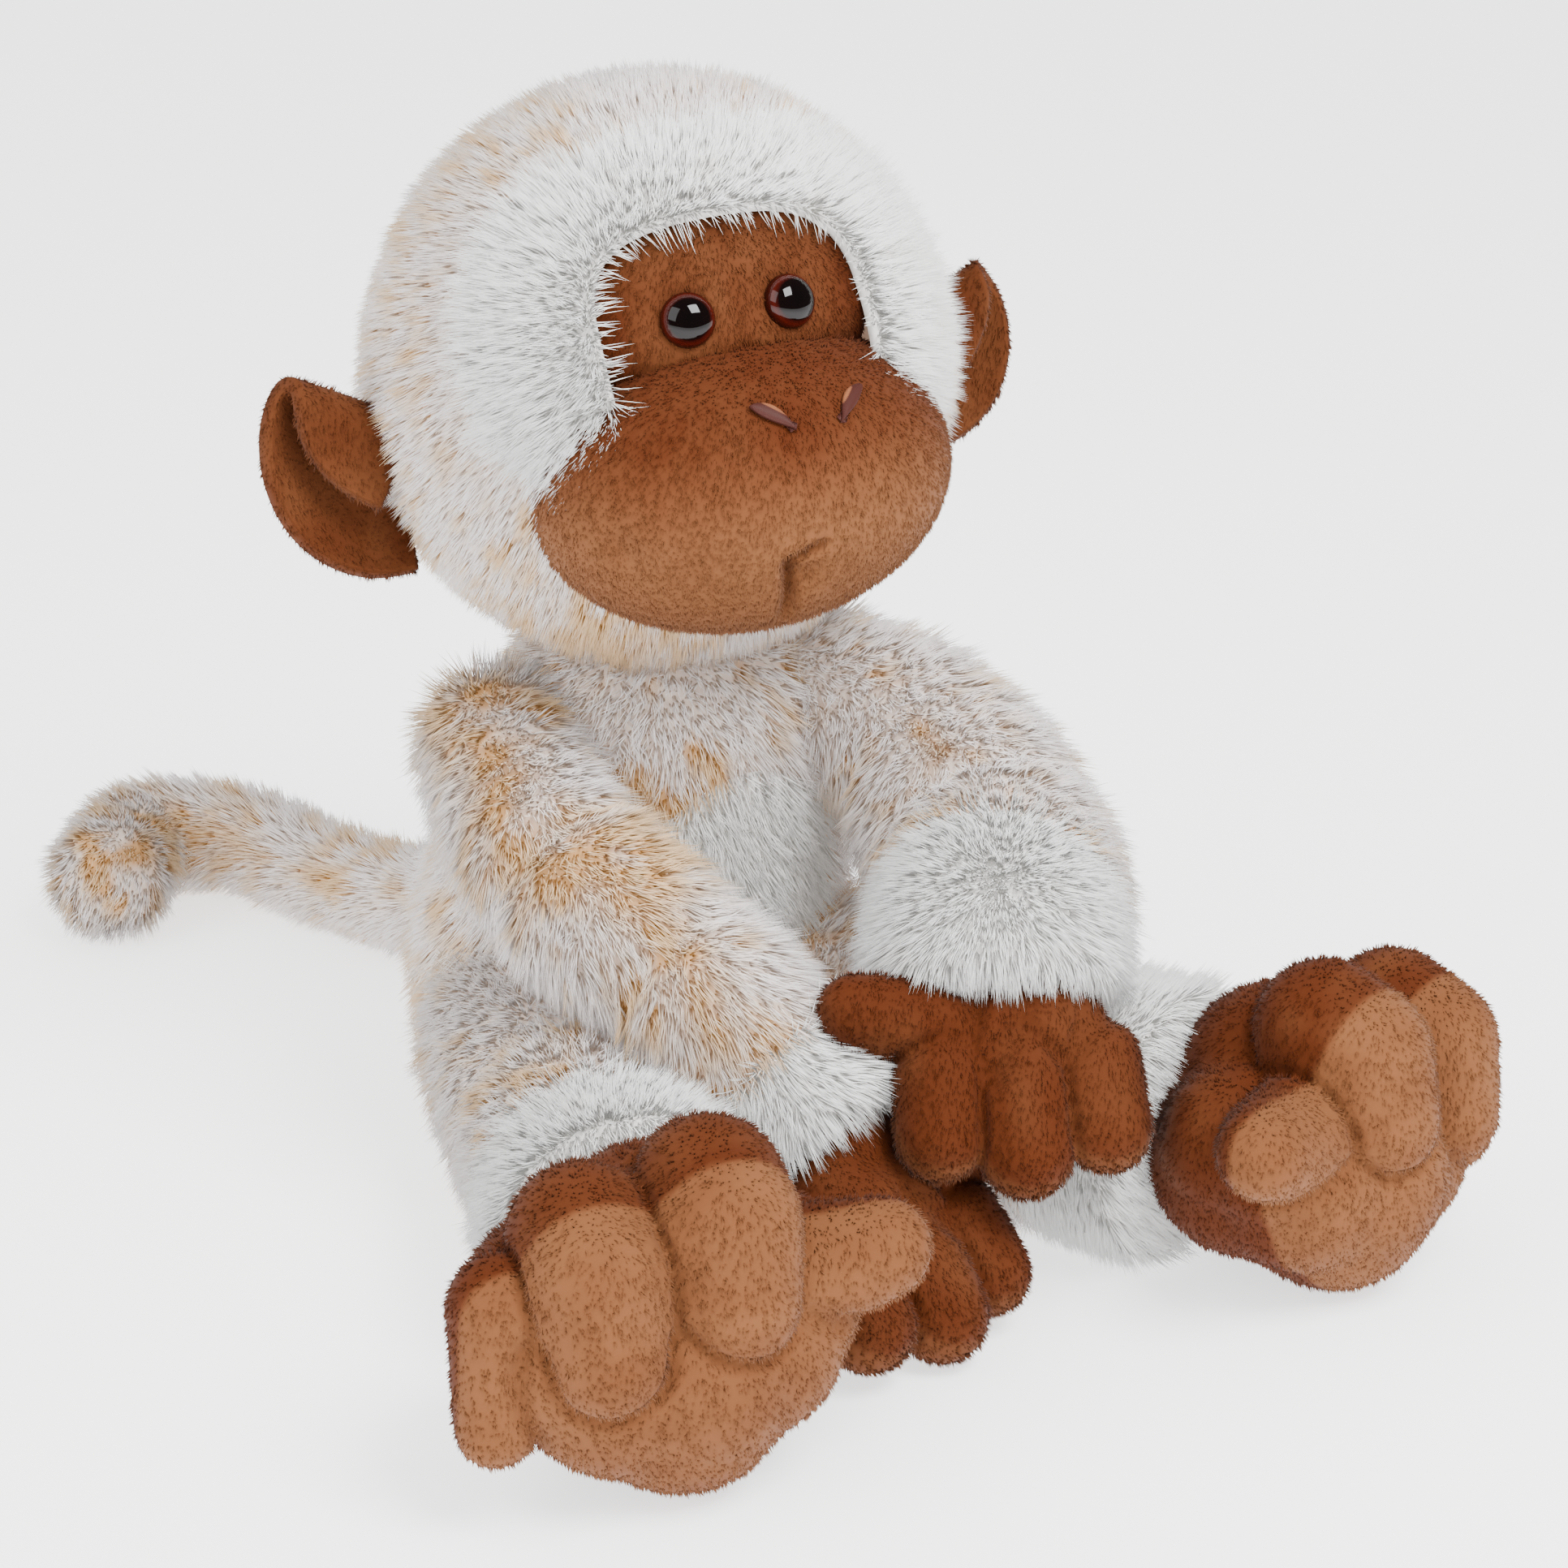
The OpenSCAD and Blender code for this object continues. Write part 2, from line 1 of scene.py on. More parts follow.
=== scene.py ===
# %% [markdown]
# # A stuffed monkey in frosted plush
# The toy is sewn from panels of pile fabric and filled with polyester. Four fabrics make its whole look:
# frosted plush (tan at the root, whitish at the tip), plain white plush, and two browns of short minky.
# Each panel here is a closed wall of cloth with its pile grown on it as fine closed strands, so the edge of
# every piece is ragged, as real fur is. The alternative, a noise bump on a smooth skin, leaves a hard outline.

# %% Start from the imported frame
import json
import math

import bpy
import numpy as np
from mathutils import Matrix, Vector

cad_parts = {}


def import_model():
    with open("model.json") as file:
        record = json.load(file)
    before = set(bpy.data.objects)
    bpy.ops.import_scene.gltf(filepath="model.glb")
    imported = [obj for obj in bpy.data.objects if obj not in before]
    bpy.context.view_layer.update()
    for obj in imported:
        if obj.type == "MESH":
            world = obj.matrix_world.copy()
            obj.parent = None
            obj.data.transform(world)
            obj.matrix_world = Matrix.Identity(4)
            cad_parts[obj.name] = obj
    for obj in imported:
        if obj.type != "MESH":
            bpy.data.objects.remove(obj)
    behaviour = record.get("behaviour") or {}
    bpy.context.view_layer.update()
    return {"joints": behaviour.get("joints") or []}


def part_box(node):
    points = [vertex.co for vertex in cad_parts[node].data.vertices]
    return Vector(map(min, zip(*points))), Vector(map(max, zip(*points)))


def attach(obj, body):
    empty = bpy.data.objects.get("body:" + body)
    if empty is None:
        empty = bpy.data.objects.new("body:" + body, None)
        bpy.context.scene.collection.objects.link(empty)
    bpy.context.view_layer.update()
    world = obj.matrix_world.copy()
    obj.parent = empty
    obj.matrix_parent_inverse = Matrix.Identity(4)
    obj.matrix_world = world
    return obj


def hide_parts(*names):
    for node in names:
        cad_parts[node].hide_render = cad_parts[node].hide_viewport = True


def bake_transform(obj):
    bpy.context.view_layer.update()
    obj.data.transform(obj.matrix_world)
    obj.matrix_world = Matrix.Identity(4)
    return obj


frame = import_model()
JOINTS = {joint["name"]: joint for joint in frame["joints"]}
MM = 0.001

# %% [markdown]
# ## Camera, floor and light
# A long lens from a little above suits a toy: it keeps the big head and the feet in proportion.
# The floor and the sky are both near white, and two large soft lamps give the shadows that ground the toy.
# The key lamp is square, because its reflection is what makes the eyes look like glass.

# %% Camera
VIEW_TURN, VIEW_RISE = -30.0, 20.0  # degrees round the toy, and above the floor
VIEW_DISTANCE = 960.0  # mm
VIEW_TARGET = np.array([29.0, -35.0, 96.0])  # mm


def on_sphere(turn, rise):
    """Unit vector: (sin turn cos rise, -cos turn cos rise, sin rise), so a turn of 0 stands in front."""
    turn, rise = math.radians(turn), math.radians(rise)
    return np.array([math.sin(turn) * math.cos(rise), -math.cos(turn) * math.cos(rise), math.sin(rise)])


camera = bpy.data.objects.new("camera", bpy.data.cameras.new("camera"))
camera.data.lens = 85.0
camera.data.sensor_width = 36.0
camera.data.clip_end = 20.0
camera.location = (VIEW_TARGET + VIEW_DISTANCE * on_sphere(VIEW_TURN, VIEW_RISE)) * MM
camera.rotation_euler = (math.radians(90.0 - VIEW_RISE), 0.0, math.radians(VIEW_TURN))
bpy.context.scene.collection.objects.link(camera)
bpy.context.scene.camera = camera
print("camera", [round(x, 3) for x in camera.location])


# %% Colour and node helpers
def srgb(code, alpha=1.0):
    """Linear RGBA of an sRGB hex colour: c/12.92 below 0.04045, else ((c + 0.055)/1.055)^2.4."""
    c = np.array([int(code[i : i + 2], 16) for i in (1, 3, 5)]) / 255.0
    linear = np.where(c <= 0.04045, c / 12.92, ((c + 0.055) / 1.055) ** 2.4)
    return (*linear.tolist(), alpha)


def add(tree, kind, links=None, values=None, **settings):
    """Adds one node: its settings, its constant inputs, and the outputs that feed it."""
    node = tree.nodes.new(kind)
    for name, value in settings.items():
        setattr(node, name, value)
    for name, value in (values or {}).items():
        node.inputs[name].default_value = value
    for name, output in (links or {}).items():
        tree.links.new(output, node.inputs[name])
    return node


def new_material(name):
    """An empty material and its node tree."""
    material = bpy.data.materials.new(name)
    material.use_nodes = True
    material.node_tree.nodes.clear()
    return material, material.node_tree


# %% Floor, sky and lamps
paper, tree = new_material("matt_paper")
glowing_white = {"Emission Color": srgb("#FFFFFF"), "Emission Strength": 1.5}  # keeps the sweep of paper bright
shader = add(
    tree, "ShaderNodeBsdfPrincipled", values={"Base Color": srgb("#F7F7F7"), "Roughness": 0.9, **glowing_white}
)
add(tree, "ShaderNodeOutputMaterial", {"Surface": shader.outputs[0]})
floor_mesh = bpy.data.meshes.new("floor")
floor_mesh.from_pydata([(-6, -6, 0), (6, -6, 0), (6, 6, 0), (-6, 6, 0)], [], [(0, 1, 2, 3)])
floor_mesh.materials.append(paper)
floor = bpy.data.objects.new("floor", floor_mesh)
bpy.context.scene.collection.objects.link(floor)

world = bpy.data.worlds.new("pale_sky")
world.use_nodes = True
world.node_tree.nodes["Background"].inputs["Color"].default_value = srgb("#FFFFFF")
# Bright to matt cloth, and dim to a polished surface, which sees the dark studio round the softboxes.
seen = add(world.node_tree, "ShaderNodeLightPath")
strength = add(
    world.node_tree, "ShaderNodeMix", {0: seen.outputs["Is Glossy Ray"]}, {2: 1.75, 3: 0.12}, data_type="FLOAT"
)
world.node_tree.links.new(strength.outputs[0], world.node_tree.nodes["Background"].inputs["Strength"])
bpy.context.scene.world = world


def lamp(name, turn, rise, distance, size, watts):
    """A square area lamp, all lengths in metres, aimed at the middle of the toy."""
    data = bpy.data.lights.new(name, "AREA")
    data.shape, data.size, data.energy = "SQUARE", size, watts
    obj = bpy.data.objects.new(name, data)
    back = on_sphere(turn, rise)
    obj.location = VIEW_TARGET * MM + back * distance
    obj.rotation_euler = (math.radians(90.0 - rise), 0.0, math.radians(turn))
    bpy.context.scene.collection.objects.link(obj)
    return obj


lamp("key_softbox", 6.0, 50.0, 1.3, 0.55, 26.0)
lamp("fill_softbox", -75.0, 35.0, 1.8, 1.2, 18.0)
print("stage set")

# %% [markdown]
# ## Tools for cloth and pile
# Every panel is a grid of points worked out from a formula, given a thickness, and closed round its edge.
# The pile is then scattered over its outer face. A strand is a tall thin pyramid: three points in the cloth
# and one at the tip, four triangles in all, so that several hundred thousand of them stay affordable.
# Real pile lies in tufts, so each strand leans towards the middle of its tuft.


# %% Noise on a lattice
def chance(cells, salt=0.0):
    """A fixed random number from 0 to 1 for each lattice cell: what |sin(cell . k)| times a big number leaves
    after its whole part is taken off."""
    k = np.array([12.9898, 78.233, 37.719])
    return np.modf(np.abs(np.sin(cells @ k + salt * 4.137)) * 43758.5453)[0]


def mottle(points, size, salt=0.0):
    """Smooth noise, 0 to 1: random values at lattice corners size mm apart, eased between with 3f^2 - 2f^3."""
    place = points / size
    base = np.floor(place)
    f = place - base
    f = f * f * (3.0 - 2.0 * f)
    total = np.zeros(len(points))
    for corner in np.ndindex(2, 2, 2):
        c = np.array(corner)
        total += np.prod(np.where(c, f, 1.0 - f), axis=1) * chance(base + c, salt)
    return total


def tuft_centres(points, size, salt=0.0):
    """The nearest tuft centre to each point. There is one centre, at a random place, in each lattice cube."""
    base = np.floor(points / size)
    nearest = np.full(len(points), np.inf)
    centre, cell = np.zeros_like(points), np.zeros_like(points)
    for step in np.ndindex(3, 3, 3):
        c = base + step - 1.0
        place = (c + np.stack([chance(c, salt + i) for i in (1, 2, 3)], axis=1)) * size
        distance = ((points - place) ** 2).sum(axis=1)
        closer = distance < nearest
        nearest = np.where(closer, distance, nearest)
        centre[closer], cell[closer] = place[closer], c[closer]
    return centre, cell


def unit(v):
    """v divided by its length, along the last axis."""
    return v / np.maximum(np.linalg.norm(v, axis=-1, keepdims=True), 1e-9)


def smoothstep(x, low, high):
    """0 below low, 1 above high, and 3t^2 - 2t^3 between."""
    t = np.clip((x - low) / (high - low), 0.0, 1.0)
    return t * t * (3.0 - 2.0 * t)


# %% From a grid to a closed panel
def grid_triangles(rows, columns, start=0):
    """Two triangles for each square of a grid of points numbered row by row."""
    i = np.arange(rows * columns).reshape(rows, columns) + start
    a, b, c, d = (part.ravel() for part in (i[:-1, :-1], i[1:, :-1], i[1:, 1:], i[:-1, 1:]))
    return np.concatenate([np.stack([a, b, c], 1), np.stack([a, c, d], 1)])


def weld(verts, tris):
    """Joins points that share a place to a thousandth of a millimetre, and says which triangles still have
    three different corners."""
    _, first, same = np.unique(np.round(verts, 3), axis=0, return_index=True, return_inverse=True)
    tris = same.reshape(-1)[tris]
    real = (tris[:, 0] != tris[:, 1]) & (tris[:, 1] != tris[:, 2]) & (tris[:, 2] != tris[:, 0])
    return verts[first], tris, real


def vertex_normals(verts, tris):
    """Sum of the face normals round each point, each as long as its face is large, made one long."""
    face = np.cross(verts[tris[:, 1]] - verts[tris[:, 0]], verts[tris[:, 2]] - verts[tris[:, 0]])
    total = np.stack(
        [np.bincount(tris.ravel(), np.repeat(face[:, axis], 3), len(verts)) for axis in range(3)], axis=1
    )
    return unit(total)


def rim(line, shift):
    """The strip that joins a line of outer points to the inner points numbered shift higher."""
    a, b = line[:-1], line[1:]
    return np.concatenate([np.stack([b, a, a + shift], 1), np.stack([b, a + shift, b + shift], 1)])


def panel(outer, core, thick=None, wrap=False, caps=(False, False)):
    """Closes a grid of points into a panel. With thick, a second grid lies that far inside it and the open edges
    are joined; without, the grid already closes on itself. wrap says that the first and last rows are the same
    line, and caps that the first or last column shrinks to a point. core holds a point inside for each point of
    the grid, or one for all."""
    rows, columns = outer.shape[:2]
    flat, count = outer.reshape(-1, 3), rows * columns
    tris = grid_triangles(rows, columns)
    skin, same, real = weld(flat, tris)
    place = np.unique(np.round(flat, 3), axis=0, return_inverse=True)[1].reshape(-1)
    normals = vertex_normals(skin, same[real])[place]
    flip = (normals * (flat - np.broadcast_to(core, outer.shape).reshape(-1, 3))).sum() < 0
    verts, parts = flat, [tris]
    if thick is not None:
        verts = np.concatenate([flat, flat - normals * (-thick if flip else thick)])
        parts.append(tris[:, ::-1] + count)
        i = np.arange(count).reshape(rows, columns)
        edges = [] if wrap else [i[0, ::-1], i[-1]]
        edges += [] if caps[0] else [i[:, 0]]
        edges += [] if caps[1] else [i[::-1, -1]]
        parts += [rim(line, count) for line in edges]
    outside = np.concatenate([np.full(len(part), k == 0) for k, part in enumerate(parts)])
    tris = np.concatenate(parts)
    if flip:
        tris = tris[:, ::-1]
    verts, tris, real = weld(verts, tris)
    return {"verts": verts, "tris": tris[real], "outside": outside[real]}


# %% Paths and tubes
def smooth_path(keys, count):
    """Catmull-Rom curve through the keys, then count points evenly spaced along its length."""
    keys = np.asarray(keys, float)
    t = np.linspace(0.0, len(keys) - 1.0, 60 * len(keys))
    i = np.minimum(t.astype(int), len(keys) - 2)
    f = (t - i)[:, None]
    a, b = keys[np.maximum(i - 1, 0)], keys[i]
    c, d = keys[i + 1], keys[np.minimum(i + 2, len(keys) - 1)]
    curve = 0.5 * (2 * b + (c - a) * f + (2 * a - 5 * b + 4 * c - d) * f**2 + (3 * b - a - 3 * c + d) * f**3)
    run = np.concatenate([[0.0], np.cumsum(np.linalg.norm(np.diff(curve[:, :3], axis=0), axis=1))])
    even = np.linspace(0.0, run[-1], count)
    return np.stack([np.interp(even, run, curve[:, k]) for k in range(keys.shape[1])], axis=1)


def tube(keys, rows, around, round_start=True, round_end=True):
    """A profile carried along a path: keys are (x, y, z, radius). The point at angle b of a ring is
    centre + radius (cos b * top + sin b * side). A rounded end is a quarter circle as deep as its radius."""
    path = smooth_path(keys, rows)
    centre, radius = path[:, :3], path[:, 3]
    ahead = unit(np.gradient(centre, axis=0))
    quarter = np.linspace(0.0, np.pi / 2, 12)[:-1]
    if round_start:
        r = radius[0]
        centre = np.concatenate([centre[:1] - ahead[:1] * (r * np.cos(quarter))[:, None], centre])
        radius = np.concatenate([r * np.sin(quarter), radius])
        ahead = np.concatenate([np.repeat(ahead[:1], 11, 0), ahead])
    if round_end:
        r = radius[-1]
        back = quarter[::-1]
        centre = np.concatenate([centre, centre[-1:] + ahead[-1:] * (r * np.cos(back))[:, None]])
        radius = np.concatenate([radius, r * np.sin(back)])
        ahead = np.concatenate([ahead, np.repeat(ahead[-1:], 11, 0)])
    side = unit(np.cross(ahead, [0.0, 0.0, 1.0]))
    top = np.cross(side, ahead)
    b = np.linspace(0.0, 2 * np.pi, around)[:, None, None]
    grid = centre + radius[:, None] * (np.cos(b) * top + np.sin(b) * side)
    grid[-1] = grid[0]
    return grid, centre, ahead


def rest_on_floor(points, gap=0.4):
    """Cloth that would sink below the floor lies flat on it instead."""
    points[..., 2] = np.maximum(points[..., 2], gap)
    return points


# %% Grow the pile
STRAND_FACES = np.array([(0, 1, 3), (1, 2, 3), (2, 0, 3), (2, 1, 0)])


def grow_pile(skin, seed, per_mm2, length, width, flow, lean, tuft, gather=0.28, keep=None, tint=None, wild=0.5):
    """Strands on the outer face: tip = foot + length * unit(cos(lean) normal + sin(lean) (flow + wild * wander)),
    and then the tip moves the share gather of the way to the middle of its tuft. lean is in degrees, per_mm2 is
    how many grow on a square mm, and width is a strand's thickness at its foot."""
    rng = np.random.default_rng(seed)
    verts, tris = skin["verts"], skin["tris"][skin["outside"]]
    corner = verts[tris]
    share = np.linalg.norm(np.cross(corner[:, 1] - corner[:, 0], corner[:, 2] - corner[:, 0]), axis=1) / 2
    if keep is not None:
        share = share * keep(corner.mean(axis=1))
    count = int(share.sum() * per_mm2)
    pick = rng.choice(len(tris), count, p=share / share.sum())
    u, v = np.sqrt(rng.random(count)), rng.random(count)
    weights = np.stack([1 - u, u * (1 - v), u * v], axis=1)[..., None]
    foot = (corner[pick] * weights).sum(axis=1)
    normal = unit((vertex_normals(verts, skin["tris"])[tris[pick]] * weights).sum(axis=1))

    centre, cell = tuft_centres(foot, tuft, seed % 97)
    wander = np.stack([chance(cell, seed % 89 + k) - 0.5 for k in (5, 6, 7)], axis=1)
    course = flow(foot) if callable(flow) else np.broadcast_to(flow, foot.shape)
    course = course + wild * (wander + rng.normal(0.0, 0.2, foot.shape))
    course = course - normal * (course * normal).sum(axis=1, keepdims=True)
    course = course / np.maximum(1.0, np.linalg.norm(course, axis=1, keepdims=True))
    tilt = np.radians(lean + 24.0 * wild * (chance(cell, seed % 83 + 9) - 0.5))[:, None]
    tall = length * (0.72 + 0.4 * rng.random(count)) * (0.8 + 0.4 * chance(cell, seed % 79 + 3))
    tip = foot + tall[:, None] * unit(np.cos(tilt) * normal + np.sin(tilt) * course)
    pull = centre - foot
    pull = pull - normal * (pull * normal).sum(axis=1, keepdims=True)
    tip = tip + gather * pull

    along = unit(tip - foot)
    first = unit(np.cross(along, rng.normal(0.0, 1.0, foot.shape)))
    second = np.cross(along, first)
    angle = np.arange(3) * 2 * np.pi / 3
    ring = foot[:, None] - 0.35 * normal[:, None] + width / 2 * (
        np.cos(angle)[:, None] * first[:, None] + np.sin(angle)[:, None] * second[:, None]
    )
    points = np.concatenate([ring, tip[:, None]], axis=1).reshape(-1, 3)
    faces = (np.arange(count)[:, None, None] * 4 + STRAND_FACES).reshape(-1, 3)
    shade = np.clip((tint(foot) if tint else np.full(count, 0.3)) + 0.12 * (chance(cell, 11.0) - 0.5), 0.03, 0.97)
    across = np.clip(shade[:, None] + np.array([-0.02, 0.0, 0.02, 0.0]), 0.0, 1.0)
    up = np.broadcast_to([0.0, 0.0, 0.0, 1.0], across.shape)
    return points, faces, np.stack([across, up], axis=-1).reshape(-1, 2), np.repeat(normal, 4, axis=0)


# %% From arrays to a piece
def make_piece(
    name, body, material, skin, pile=(), tint=None, rise=0.25, replaces=(), place=None
):
    """One mesh of the skin and its pile. Its map Nap holds the tint across and the height up a strand, and its
    attribute Lie holds the way the cloth faces under each strand."""
    shade = np.clip(tint(skin["verts"]), 0.03, 0.97) if tint else np.full(len(skin["verts"]), 0.3)
    points, faces, maps = [skin["verts"]], [skin["tris"]], [np.stack([shade, np.full(len(shade), rise)], axis=1)]
    lies = [vertex_normals(skin["verts"], skin["tris"])]
    for strands in pile:
        faces.append(strands[1] + sum(len(part) for part in points))
        points.append(strands[0])
        maps.append(strands[2])
        lies.append(strands[3])
    points, faces, maps, lies = (np.concatenate(part) for part in (points, faces, maps, lies))
    if place is not None:
        lies = place(lies) - place(np.zeros((1, 3)))
    points = rest_on_floor(points if place is None else place(points), 0.15)
    mesh = bpy.data.meshes.new(name)
    mesh.vertices.add(len(points))
    mesh.vertices.foreach_set("co", (points * MM).astype(np.float32).ravel())
    mesh.loops.add(faces.size)
    mesh.loops.foreach_set("vertex_index", faces.astype(np.int32).ravel())
    mesh.polygons.add(len(faces))
    mesh.polygons.foreach_set("loop_start", np.arange(0, faces.size, 3, dtype=np.int32))
    mesh.polygons.foreach_set("use_smooth", np.ones(len(faces), bool))
    for layer in ("Nap", "OFBake"):
        mesh.uv_layers.new(name=layer).data.foreach_set("uv", maps[faces.ravel()].astype(np.float32).ravel())
    mesh.update(calc_edges=True)
    lie = mesh.attributes.new("Lie", "FLOAT_VECTOR", "POINT")
    lie.data.foreach_set("vector", lies.astype(np.float32).ravel())
    mesh.materials.append(material)
    obj = bpy.data.objects.new(name, mesh)
    bpy.context.scene.collection.objects.link(obj)
    if body is not None:
        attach(obj, body)
    if replaces:
        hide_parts(*replaces)
    print(f"{name}: {len(faces)} triangles")
    return obj


# %% [markdown]
# ## The fabrics
# Frosted plush is dyed tan at the root and left whitish at the tip, so the tan shows wherever the pile parts.
# White plush is the same cloth undyed. Minky is a very short, dense pile: it turns darker or lighter with the
# way that the nap lies. All are polyester, rough to the light, with a soft sheen at grazing angles.


# %% Pile material
def pile_material(name, root, tip, second_root, second_tip, turn_at, sheen, roughness, through):
    """Colour = mix(root, tip, height), in two dyes mixed by the tint across the map. Thousands of strands shade
    mostly the way the cloth faces. A share of the light goes through them. The light spread inside the pile is
    a painted glow: the colour shines faintly as emission, which lifts the shade between strands."""
    material, tree = new_material(name)
    nap = add(tree, "ShaderNodeUVMap", uv_map="Nap")
    split = add(tree, "ShaderNodeSeparateXYZ", {0: nap.outputs[0]})
    height = add(
        tree, "ShaderNodeMapRange", {"Value": split.outputs["Y"]},
        {"From Min": turn_at[0], "From Max": turn_at[1]}, interpolation_type="SMOOTHSTEP",
    )
    dyes = [
        add(tree, "ShaderNodeMix", {0: height.outputs[0]}, {6: srgb(low), 7: srgb(high)}, data_type="RGBA")
        for low, high in ((root, tip), (second_root, second_tip))
    ]
    colour = add(
        tree, "ShaderNodeMix", {0: split.outputs["X"], 6: dyes[0].outputs[2], 7: dyes[1].outputs[2]},
        data_type="RGBA",
    )
    lie = add(tree, "ShaderNodeAttribute", attribute_name="Lie")
    faced = add(
        tree, "ShaderNodeVectorTransform", {0: lie.outputs["Vector"]},
        vector_type="NORMAL", convert_from="OBJECT", convert_to="WORLD",
    )
    strand = add(tree, "ShaderNodeNewGeometry")
    normal = add(
        tree, "ShaderNodeMix", {4: strand.outputs["Normal"], 5: faced.outputs[0]}, {0: 0.8}, data_type="VECTOR"
    )
    # The emission is a painted glow of the pile's own colour, which brightens the shade between strands.
    shader = add(
        tree, "ShaderNodeBsdfPrincipled",
        {"Base Color": colour.outputs[2], "Emission Color": colour.outputs[2], "Normal": normal.outputs[1]},
        {
            "Roughness": roughness, "Sheen Weight": sheen, "Sheen Roughness": 0.45, "Specular IOR Level": 0.1,
            "Emission Strength": 0.9 * through,
        },
    )
    lit = add(tree, "ShaderNodeBsdfTranslucent", {"Color": colour.outputs[2]})
    both = add(tree, "ShaderNodeMixShader", {1: shader.outputs[0], 2: lit.outputs[0]}, {0: through})
    add(tree, "ShaderNodeOutputMaterial", {"Surface": both.outputs[0]})
    return material


# through sets the share of light passing the strands and also the strength of the painted glow.
LONG_PILE = {"turn_at": (0.0, 0.6), "sheen": 0.15, "roughness": 0.85, "through": 0.2}
SHORT_PILE = {"turn_at": (0.0, 1.0), "sheen": 0.04, "roughness": 0.8, "through": 0.0}
frosted_plush = pile_material("frosted_plush", "#E2C8B2", "#F6F0EF", "#C98A3E", "#E9C79A", **LONG_PILE)
white_plush = pile_material("white_plush", "#F0EEE9", "#FCFCFB", "#E2DCD0", "#F6F4EF", **LONG_PILE)
brown_minky = pile_material("brown_minky", "#653C20", "#835637", "#361403", "#582506", **SHORT_PILE)
print("fabrics ready")

# %% [markdown]
# ## Head
# The head is a stuffed ball. Its hood is frosted plush, a white brow panel goes round the face, and the face
# itself is dark minky with the eyes sunk in it. Each panel is a polar grid round the line that comes out of the
# face, so that the seams are curves t = edge(phi), and neighbours share a seam exactly.

# %% The head's own frame
hood_low, hood_high = (np.array(corner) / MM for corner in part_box("hood"))
BALL = (hood_high[0] - hood_low[0]) / 2  # radius of the cloth ball, mm
HEAD_MIDDLE = np.array([(hood_low[0] + hood_high[0]) / 2, hood_high[1] - BALL, (hood_low[2] + hood_high[2]) / 2])
HEAD_TURN, HEAD_TILT, HEAD_NOD = -7.0, -5.0, -2.0  # degrees about Z, Y and X
FACE_RISE = math.radians(19.5)  # the face window's middle, above level


def turned(axis, degrees):
    """3 × 3 matrix of a turn about axis 0, 1 or 2."""
    c, s = math.cos(math.radians(degrees)), math.sin(math.radians(degrees))
    i, j = [(1, 2), (2, 0), (0, 1)][axis]
    m = np.eye(3)
    m[i, i], m[i, j], m[j, i], m[j, j] = c, -s, s, c
    return m


HEAD_AXES = turned(2, HEAD_TURN) @ turned(1, HEAD_TILT) @ turned(0, HEAD_NOD)


def at_head(points):
    """From the head's frame, face towards -Y, to the toy's."""
    return points @ HEAD_AXES.T + HEAD_MIDDLE


def head_way(t, phi):
    """Unit vector t radians off the face line and phi round it from straight up:
    cos t face + sin t (cos phi up + sin phi side)."""
    face = np.array([0.0, -math.cos(FACE_RISE), math.sin(FACE_RISE)])
    up = np.array([0.0, math.sin(FACE_RISE), math.cos(FACE_RISE)])
    side = np.array([1.0, 0.0, 0.0])
    t, phi = t[..., None], phi[..., None]
    return np.cos(t) * face + np.sin(t) * (np.cos(phi) * up + np.sin(phi) * side)


def seam_round_face(phi, half_w, above, below, power):
    """Edge angle t(phi) of a rounded window: (|sin phi| / w)^p + (|cos phi| / h)^p = t^-p, where h is one value
    above the middle and another below it."""
    h = np.where(np.cos(phi) > 0, above, below)
    return (np.abs(np.sin(phi) / half_w) ** power + np.abs(np.cos(phi) / h) ** power) ** (-1.0 / power)


def window_edge(phi):
    return seam_round_face(phi, 0.50, 0.40, 0.42, 3.4)


def brow_edge(phi):
    return seam_round_face(phi, 0.98, 0.76, 0.52, 2.6)


def head_panel(inner, outer, radius, rows, columns, bump=1.2):
    """Polar grid between two seams: t = inner + (outer - inner) f, at the ball's radius and slowly uneven."""
    phi = np.linspace(-np.pi, np.pi, rows)[:, None]
    f = np.linspace(0.0, 1.0, columns)[None]
    way = head_way(inner(phi) + (outer(phi) - inner(phi)) * f, phi + 0.0 * f)
    uneven = mottle(way.reshape(-1, 3) * radius, 30.0, 4.0).reshape(rows, columns, 1)
    grid = way * (radius + bump * (2.0 * uneven - 1.0))
    grid[-1] = grid[0]
    return grid


SKIN = BALL - 1.2  # the backing lies under the pile
print("head ball", round(BALL, 1), "mm at", HEAD_MIDDLE.round(1))


# %% Hood
def from_face(points):
    """Pile lies back from the face and a little down."""
    way = points / np.linalg.norm(points, axis=1, keepdims=True)
    return way - head_way(np.zeros(1), np.zeros(1)) * 0.9 - np.array([0.0, 0.0, 0.55])


def fleck(points, size, salt, spread=0.18, level=0.62):
    """Where the pile parts and the tan dye shows: noise over a level, in patches."""
    fine = mottle(points, size, salt)
    broad = mottle(points, 26.0, salt + 3.0)
    return smoothstep(0.62 * fine + 0.38 * broad, level - spread, level + spread)


def hood_tint(points):
    """More tan low on the cheeks, where the hood meets the muzzle."""
    low = smoothstep(-points[:, 2], 0.0, 60.0) * smoothstep(-points[:, 1], -10.0, 50.0)
    return fleck(points, 4.0, 1.0, level=0.6 - 0.16 * low)


